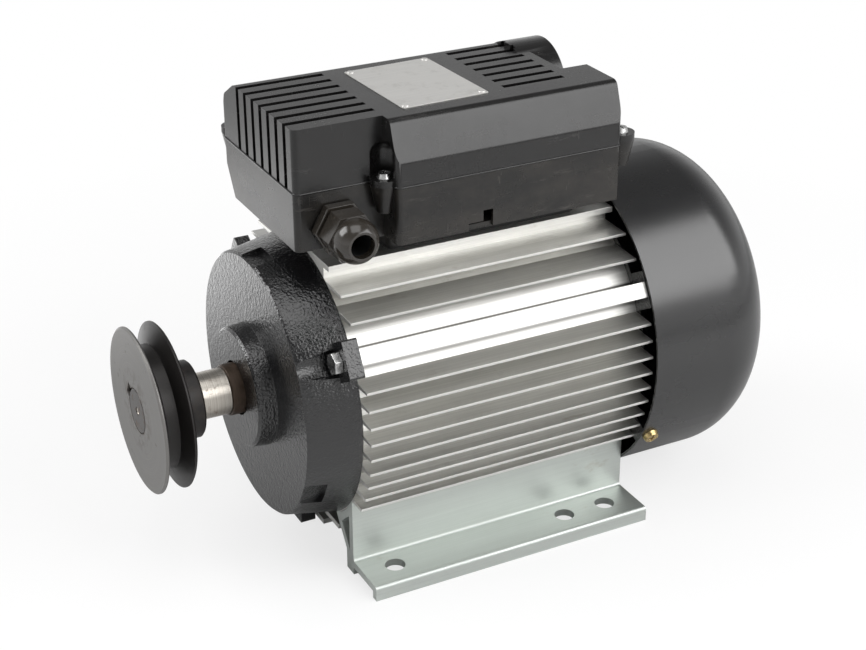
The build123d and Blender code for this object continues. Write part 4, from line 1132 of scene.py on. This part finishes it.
@dataclass
class TerminalBox(Dresser):
    """Box, cover, plate and what is inside."""

    moulding_edge: float = 1.4
    screw_edge: float = 0.3
    plate_edge: float = 0.15
    can_edge: float = 1.5
    roof_edge: tuple[Point, Point] = ((38.0, -93.0, 235.4), (39.0, -49.0, 236.4))
    roof_edge_width: float = 3.0
    parting_level: float = 204.2
    lip_r: float = 0.55
    lip_steps: int = 12
    corner_cut: float = 3.4
    corner_steps: int = 6
    outline: tuple[tuple[float, float], ...] = (
        (-52.0, -96.0),
        (38.5, -96.0),
        (38.5, -50.3),
        (53.0, -50.3),
        (53.0, 74.0),
        (-52.0, 74.0),
    )

    def build(self) -> None:
        """Dress the box."""
        (cover,) = self.soften(Finish.BLACK_PLASTIC, self.moulding_edge, "box_cover")
        self.soften(Finish.DUSTY_PLASTIC, self.moulding_edge, "box_base", slot=Finish.BLACK_PLASTIC)
        round_inside(cover, *self.roof_edge, self.roof_edge_width)
        self.parting_lip()
        self.soften(Finish.ZINC_STEEL, self.screw_edge, "cover_screws")
        self.soften(Finish.BLANK_PLATE, self.plate_edge, "rating_plate")
        self.paint(Finish.BLANK_PLATE, "plate_pins")
        self.paint(Finish.BLACK_RUBBER, "box_gasket", "cover_seal")
        self.paint(Finish.ZINC_STEEL, "box_base_screws", "strap_screws")
        self.soften(Finish.BLACK_PLASTIC, self.can_edge, "start_capacitor")
        self.soften(Finish.WHITE_PLASTIC, self.can_edge, "run_capacitor")
        self.paint(Finish.PRESSED_STEEL, "capacitor_straps")
        self.paint(Finish.BROWN_BOARD, "terminal_board")
        self.paint(Finish.BRASS_PARTS, "terminal_studs", "terminal_links", "earth_screw")

    def parting_lip(self) -> None:
        """Thin raised lip around the box where the cover meets the base.

        Its section is a circle, (r cos u outwards, r sin u upwards), along the rounded outline.
        """
        outline = rounded(self.outline, self.corner_cut, self.corner_steps)
        ahead = np.roll(outline, -1, axis=0) - np.roll(outline, 1, axis=0)
        outward = np.stack([ahead[:, 1], -ahead[:, 0]], axis=1)
        outward /= np.linalg.norm(ahead, axis=1, keepdims=True)
        u = np.linspace(-np.pi, np.pi, self.lip_steps, endpoint=False)
        plan = outline[:, None] + outward[:, None] * (self.lip_r * np.cos(u))[None, :, None]
        height = np.broadcast_to(self.parting_level + self.lip_r * np.sin(u), plan.shape[:2])
        points = np.concatenate([plan, height[..., None]], axis=-1).reshape(-1, 3)
        faces = ring_faces(len(outline), self.lip_steps)
        mesh = bpy.data.meshes.new("parting_lip")
        mesh.from_pydata((points * MM).tolist(), [], faces.tolist())
        piece = finish_mesh("parting_lip", mesh, self.finishes[Finish.BLACK_PLASTIC])
        self.keep(piece, self.body_of("box_base"), Finish.BLACK_PLASTIC.value)


@dataclass
class Gland(Dresser):
    """Cable gland on the side of the box."""

    nylon_edge: float = 0.4

    def build(self) -> None:
        """Dress the gland."""
        self.soften(Finish.GREY_NYLON, self.nylon_edge, "gland_body", "gland_nut")
        self.paint(Finish.BLACK_RUBBER, "gland_washer", "gland_seal")


@dataclass
class Inside(Dresser):
    """Bearings, stator, rotor, governor and switch."""

    def build(self) -> None:
        """Dress the inner pieces."""
        for end in ("drive", "fan"):
            for part in ("outer_race", "inner_race", "balls"):
                self.paint(Finish.BEARING_STEEL, f"{end}_bearing_{part}")
            self.paint(Finish.PRESSED_STEEL, f"{end}_bearing_cage")
        self.paint(Finish.BLACK_RUBBER, "shaft_seal")
        self.paint(Finish.PRESSED_STEEL, "wave_spring", "governor_plate")
        self.paint(Finish.CORE_STEEL, "stator_core", "rotor_core")
        self.paint(Finish.COPPER_WIRE, "stator_windings")
        self.paint(Finish.BARE_ALUMINIUM, "rotor_cage")
        self.paint(Finish.BRIGHT_STEEL, "governor_pins")
        self.paint(Finish.ZINC_STEEL, "flyweight_upper", "flyweight_lower", "switch_screws")
        self.paint(Finish.GREY_NYLON, "governor_sleeve")
        self.paint(Finish.BROWN_BOARD, "switch_board")
        self.paint(Finish.BRASS_PARTS, "switch_arm")


# --------------------------------------------------------------------- studio


def standing(place: Sequence[float], back: np.ndarray, roll: float = 0.0) -> Matrix:
    """Matrix of a lamp or camera that looks away from its back direction.

    Right is the upright crossed with back, and up is back crossed with right. The roll then
    turns both about back.

    Args:
        place: Where it stands, in metres.
        back: Unit direction that it looks away from.
        roll: Angle of the roll, in radians.

    Returns:
        Its world matrix.
    """
    right = np.cross((0.0, 0.0, 1.0), back)
    right /= np.linalg.norm(right)
    up = np.cross(back, right)
    turn = np.eye(4)
    turn[:3, 0] = math.cos(roll) * right + math.sin(roll) * up
    turn[:3, 1] = -math.sin(roll) * right + math.cos(roll) * up
    turn[:3, 2] = back
    turn[:3, 3] = place
    return Matrix(turn.tolist())


@dataclass(frozen=True)
class Lamp:
    """A soft lamp that faces a point, in metres and watts, and that the camera doesn't see."""

    name: str
    place: Point
    width: float
    height: float
    power: float
    aim: Point = (0.0, 0.0, 0.1)

    def build(self) -> None:
        """Add the lamp."""
        data = bpy.data.lights.new(self.name, "AREA")
        data.shape = "RECTANGLE"
        data.size = self.width
        data.size_y = self.height
        data.energy = self.power
        back = np.subtract(self.place, self.aim)
        lamp = bpy.data.objects.new(self.name, data)
        lamp.matrix_world = standing(self.place, back / np.linalg.norm(back))
        lamp.visible_camera = False
        bpy.context.scene.collection.objects.link(lamp)


@dataclass
class Studio:
    """Floor, lamps, world and camera, in metres and degrees."""

    camera_place: Point = (0.72240, -0.37609, 0.50633)
    azimuth: float = 62.774
    elevation: float = 26.617
    roll: float = -0.218
    focal_px: float = 1716.3
    image_width: int = 866
    sensor_mm: float = 36.0
    near_clip: float = 0.01
    far_clip: float = 50.0
    lamps: tuple[Lamp, ...] = (
        Lamp("key", (-0.7, -1.3, 1.3), 1.1, 1.1, 20.0, (-0.3, -0.4, 0.0)),
        Lamp("soft_box", (0.62, 0.44, 0.62), 1.0, 0.64, 6.5, (0.05, 0.05, 0.14)),
        Lamp("top", (0.3, -0.1, 1.8), 1.2, 1.2, 9.0),
    )
    floor_half: float = 1.7
    floor_tone: float = 0.68
    floor_tone_seen: float = 0.9
    glare: float = 2.5
    glare_share: float = 0.9
    glare_place: tuple[float, float] = (-0.42, -0.12)
    glare_reach: float = 0.23
    glare_fade: float = 0.15
    white_share: float = 0.74
    white_from: float = 0.30
    white_to: float = 0.55
    zenith: float = 0.16
    horizon: float = 0.92
    horizon_band: float = 0.42

    def build(self) -> None:
        """Set up the whole studio."""
        self.camera()
        self.floor()
        self.world()
        for lamp in self.lamps:
            lamp.build()
        bpy.context.scene.view_settings.view_transform = "Standard"

    def camera(self) -> None:
        """Camera at the photograph's viewpoint.

        With a the azimuth and e the elevation, its back is (sin a cos e, -cos a cos e, sin e).
        """
        a, e, roll = (math.radians(angle) for angle in (self.azimuth, self.elevation, self.roll))
        back = np.array((math.sin(a) * math.cos(e), -math.cos(a) * math.cos(e), math.sin(e)))
        data = bpy.data.cameras.new("viewpoint")
        data.sensor_fit = "HORIZONTAL"
        data.sensor_width = self.sensor_mm
        data.lens = self.focal_px / self.image_width * self.sensor_mm
        data.clip_start = self.near_clip
        data.clip_end = self.far_clip
        camera = bpy.data.objects.new("viewpoint", data)
        camera.matrix_world = standing(self.camera_place, back, roll)
        bpy.context.scene.collection.objects.link(camera)
        bpy.context.scene.camera = camera

    def floor(self) -> None:
        """Pale floor that keeps the shadow and turns white with distance.

        The camera sees a mix of shaded floor and white glow, whose share of white grows from
        white_share to 1 between two distances. Mirrored in gloss, a round pool of the floor glows.
        """
        half = self.floor_half
        mesh = bpy.data.meshes.new("floor")
        corners = [(-half, -half, 0), (half, -half, 0), (half, half, 0), (-half, half, 0)]
        mesh.from_pydata(corners, [], [(0, 1, 2, 3)])
        material = bpy.data.materials.new("floor")
        material.use_nodes = True
        tree = Tree(material.node_tree)
        path = tree.add("ShaderNodeLightPath")
        seen = tree.wire(path.outputs["Is Camera Ray"])
        glossy = tree.wire(path.outputs["Is Glossy Ray"])
        across, along, _ = tree.split(tree.coordinates("Object"))
        off_pool = (across - self.glare_place[0]).hypot(along - self.glare_place[1])
        pool = ((self.glare_reach - off_pool) / self.glare_fade).held() * glossy
        far = ((across.hypot(along) - self.white_from) / (self.white_to - self.white_from)).held()
        white = far * (1.0 - self.white_share) + self.white_share
        tone = seen * (self.floor_tone_seen - self.floor_tone) + self.floor_tone
        shaded = tree.add("ShaderNodeBsdfDiffuse", Color=tone)
        strength = seen + (1.0 - seen) * self.glare
        glow = tree.add("ShaderNodeEmission", Color=WHITE, Strength=strength)
        mix = tree.add("ShaderNodeMixShader")
        tree.feed(mix.inputs[0], seen * white + pool * self.glare_share)
        tree.feed(mix.inputs[1], shaded.outputs[0])
        tree.feed(mix.inputs[2], glow.outputs[0])
        tree.add("ShaderNodeOutputMaterial", Surface=mix.outputs[0])
        mesh.materials.append(material)
        floor = bpy.data.objects.new("floor", mesh)
        bpy.context.scene.collection.objects.link(floor)

    def world(self) -> None:
        """White surroundings to the camera; as light, bright at the horizon and dim overhead.

        With z the direction's height, it is zenith + (horizon - zenith) * exp(-(z / band)^2).
        """
        world = bpy.data.worlds.new("studio")
        bpy.context.scene.world = world
        world.use_nodes = True
        tree = Tree(world.node_tree)
        seen = tree.wire(tree.add("ShaderNodeLightPath").outputs["Is Camera Ray"])
        _, _, height = tree.split(tree.coordinates("Generated"))
        light = self.zenith + (height / self.horizon_band).bell() * (self.horizon - self.zenith)
        sky = tree.add("ShaderNodeBackground", Color=WHITE, Strength=seen + (1.0 - seen) * light)
        tree.add("ShaderNodeOutputWorld", Surface=sky.outputs[0])


def main() -> None:
    """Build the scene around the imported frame."""
    logging.basicConfig(level=logging.INFO, format="%(message)s")
    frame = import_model()
    finishes = Finishes()
    for part in (Carcass, Cowl, Drive, TerminalBox, Gland, Inside):
        part(frame, finishes).build()
    Studio().build()


if __name__ == "__main__":
    main()
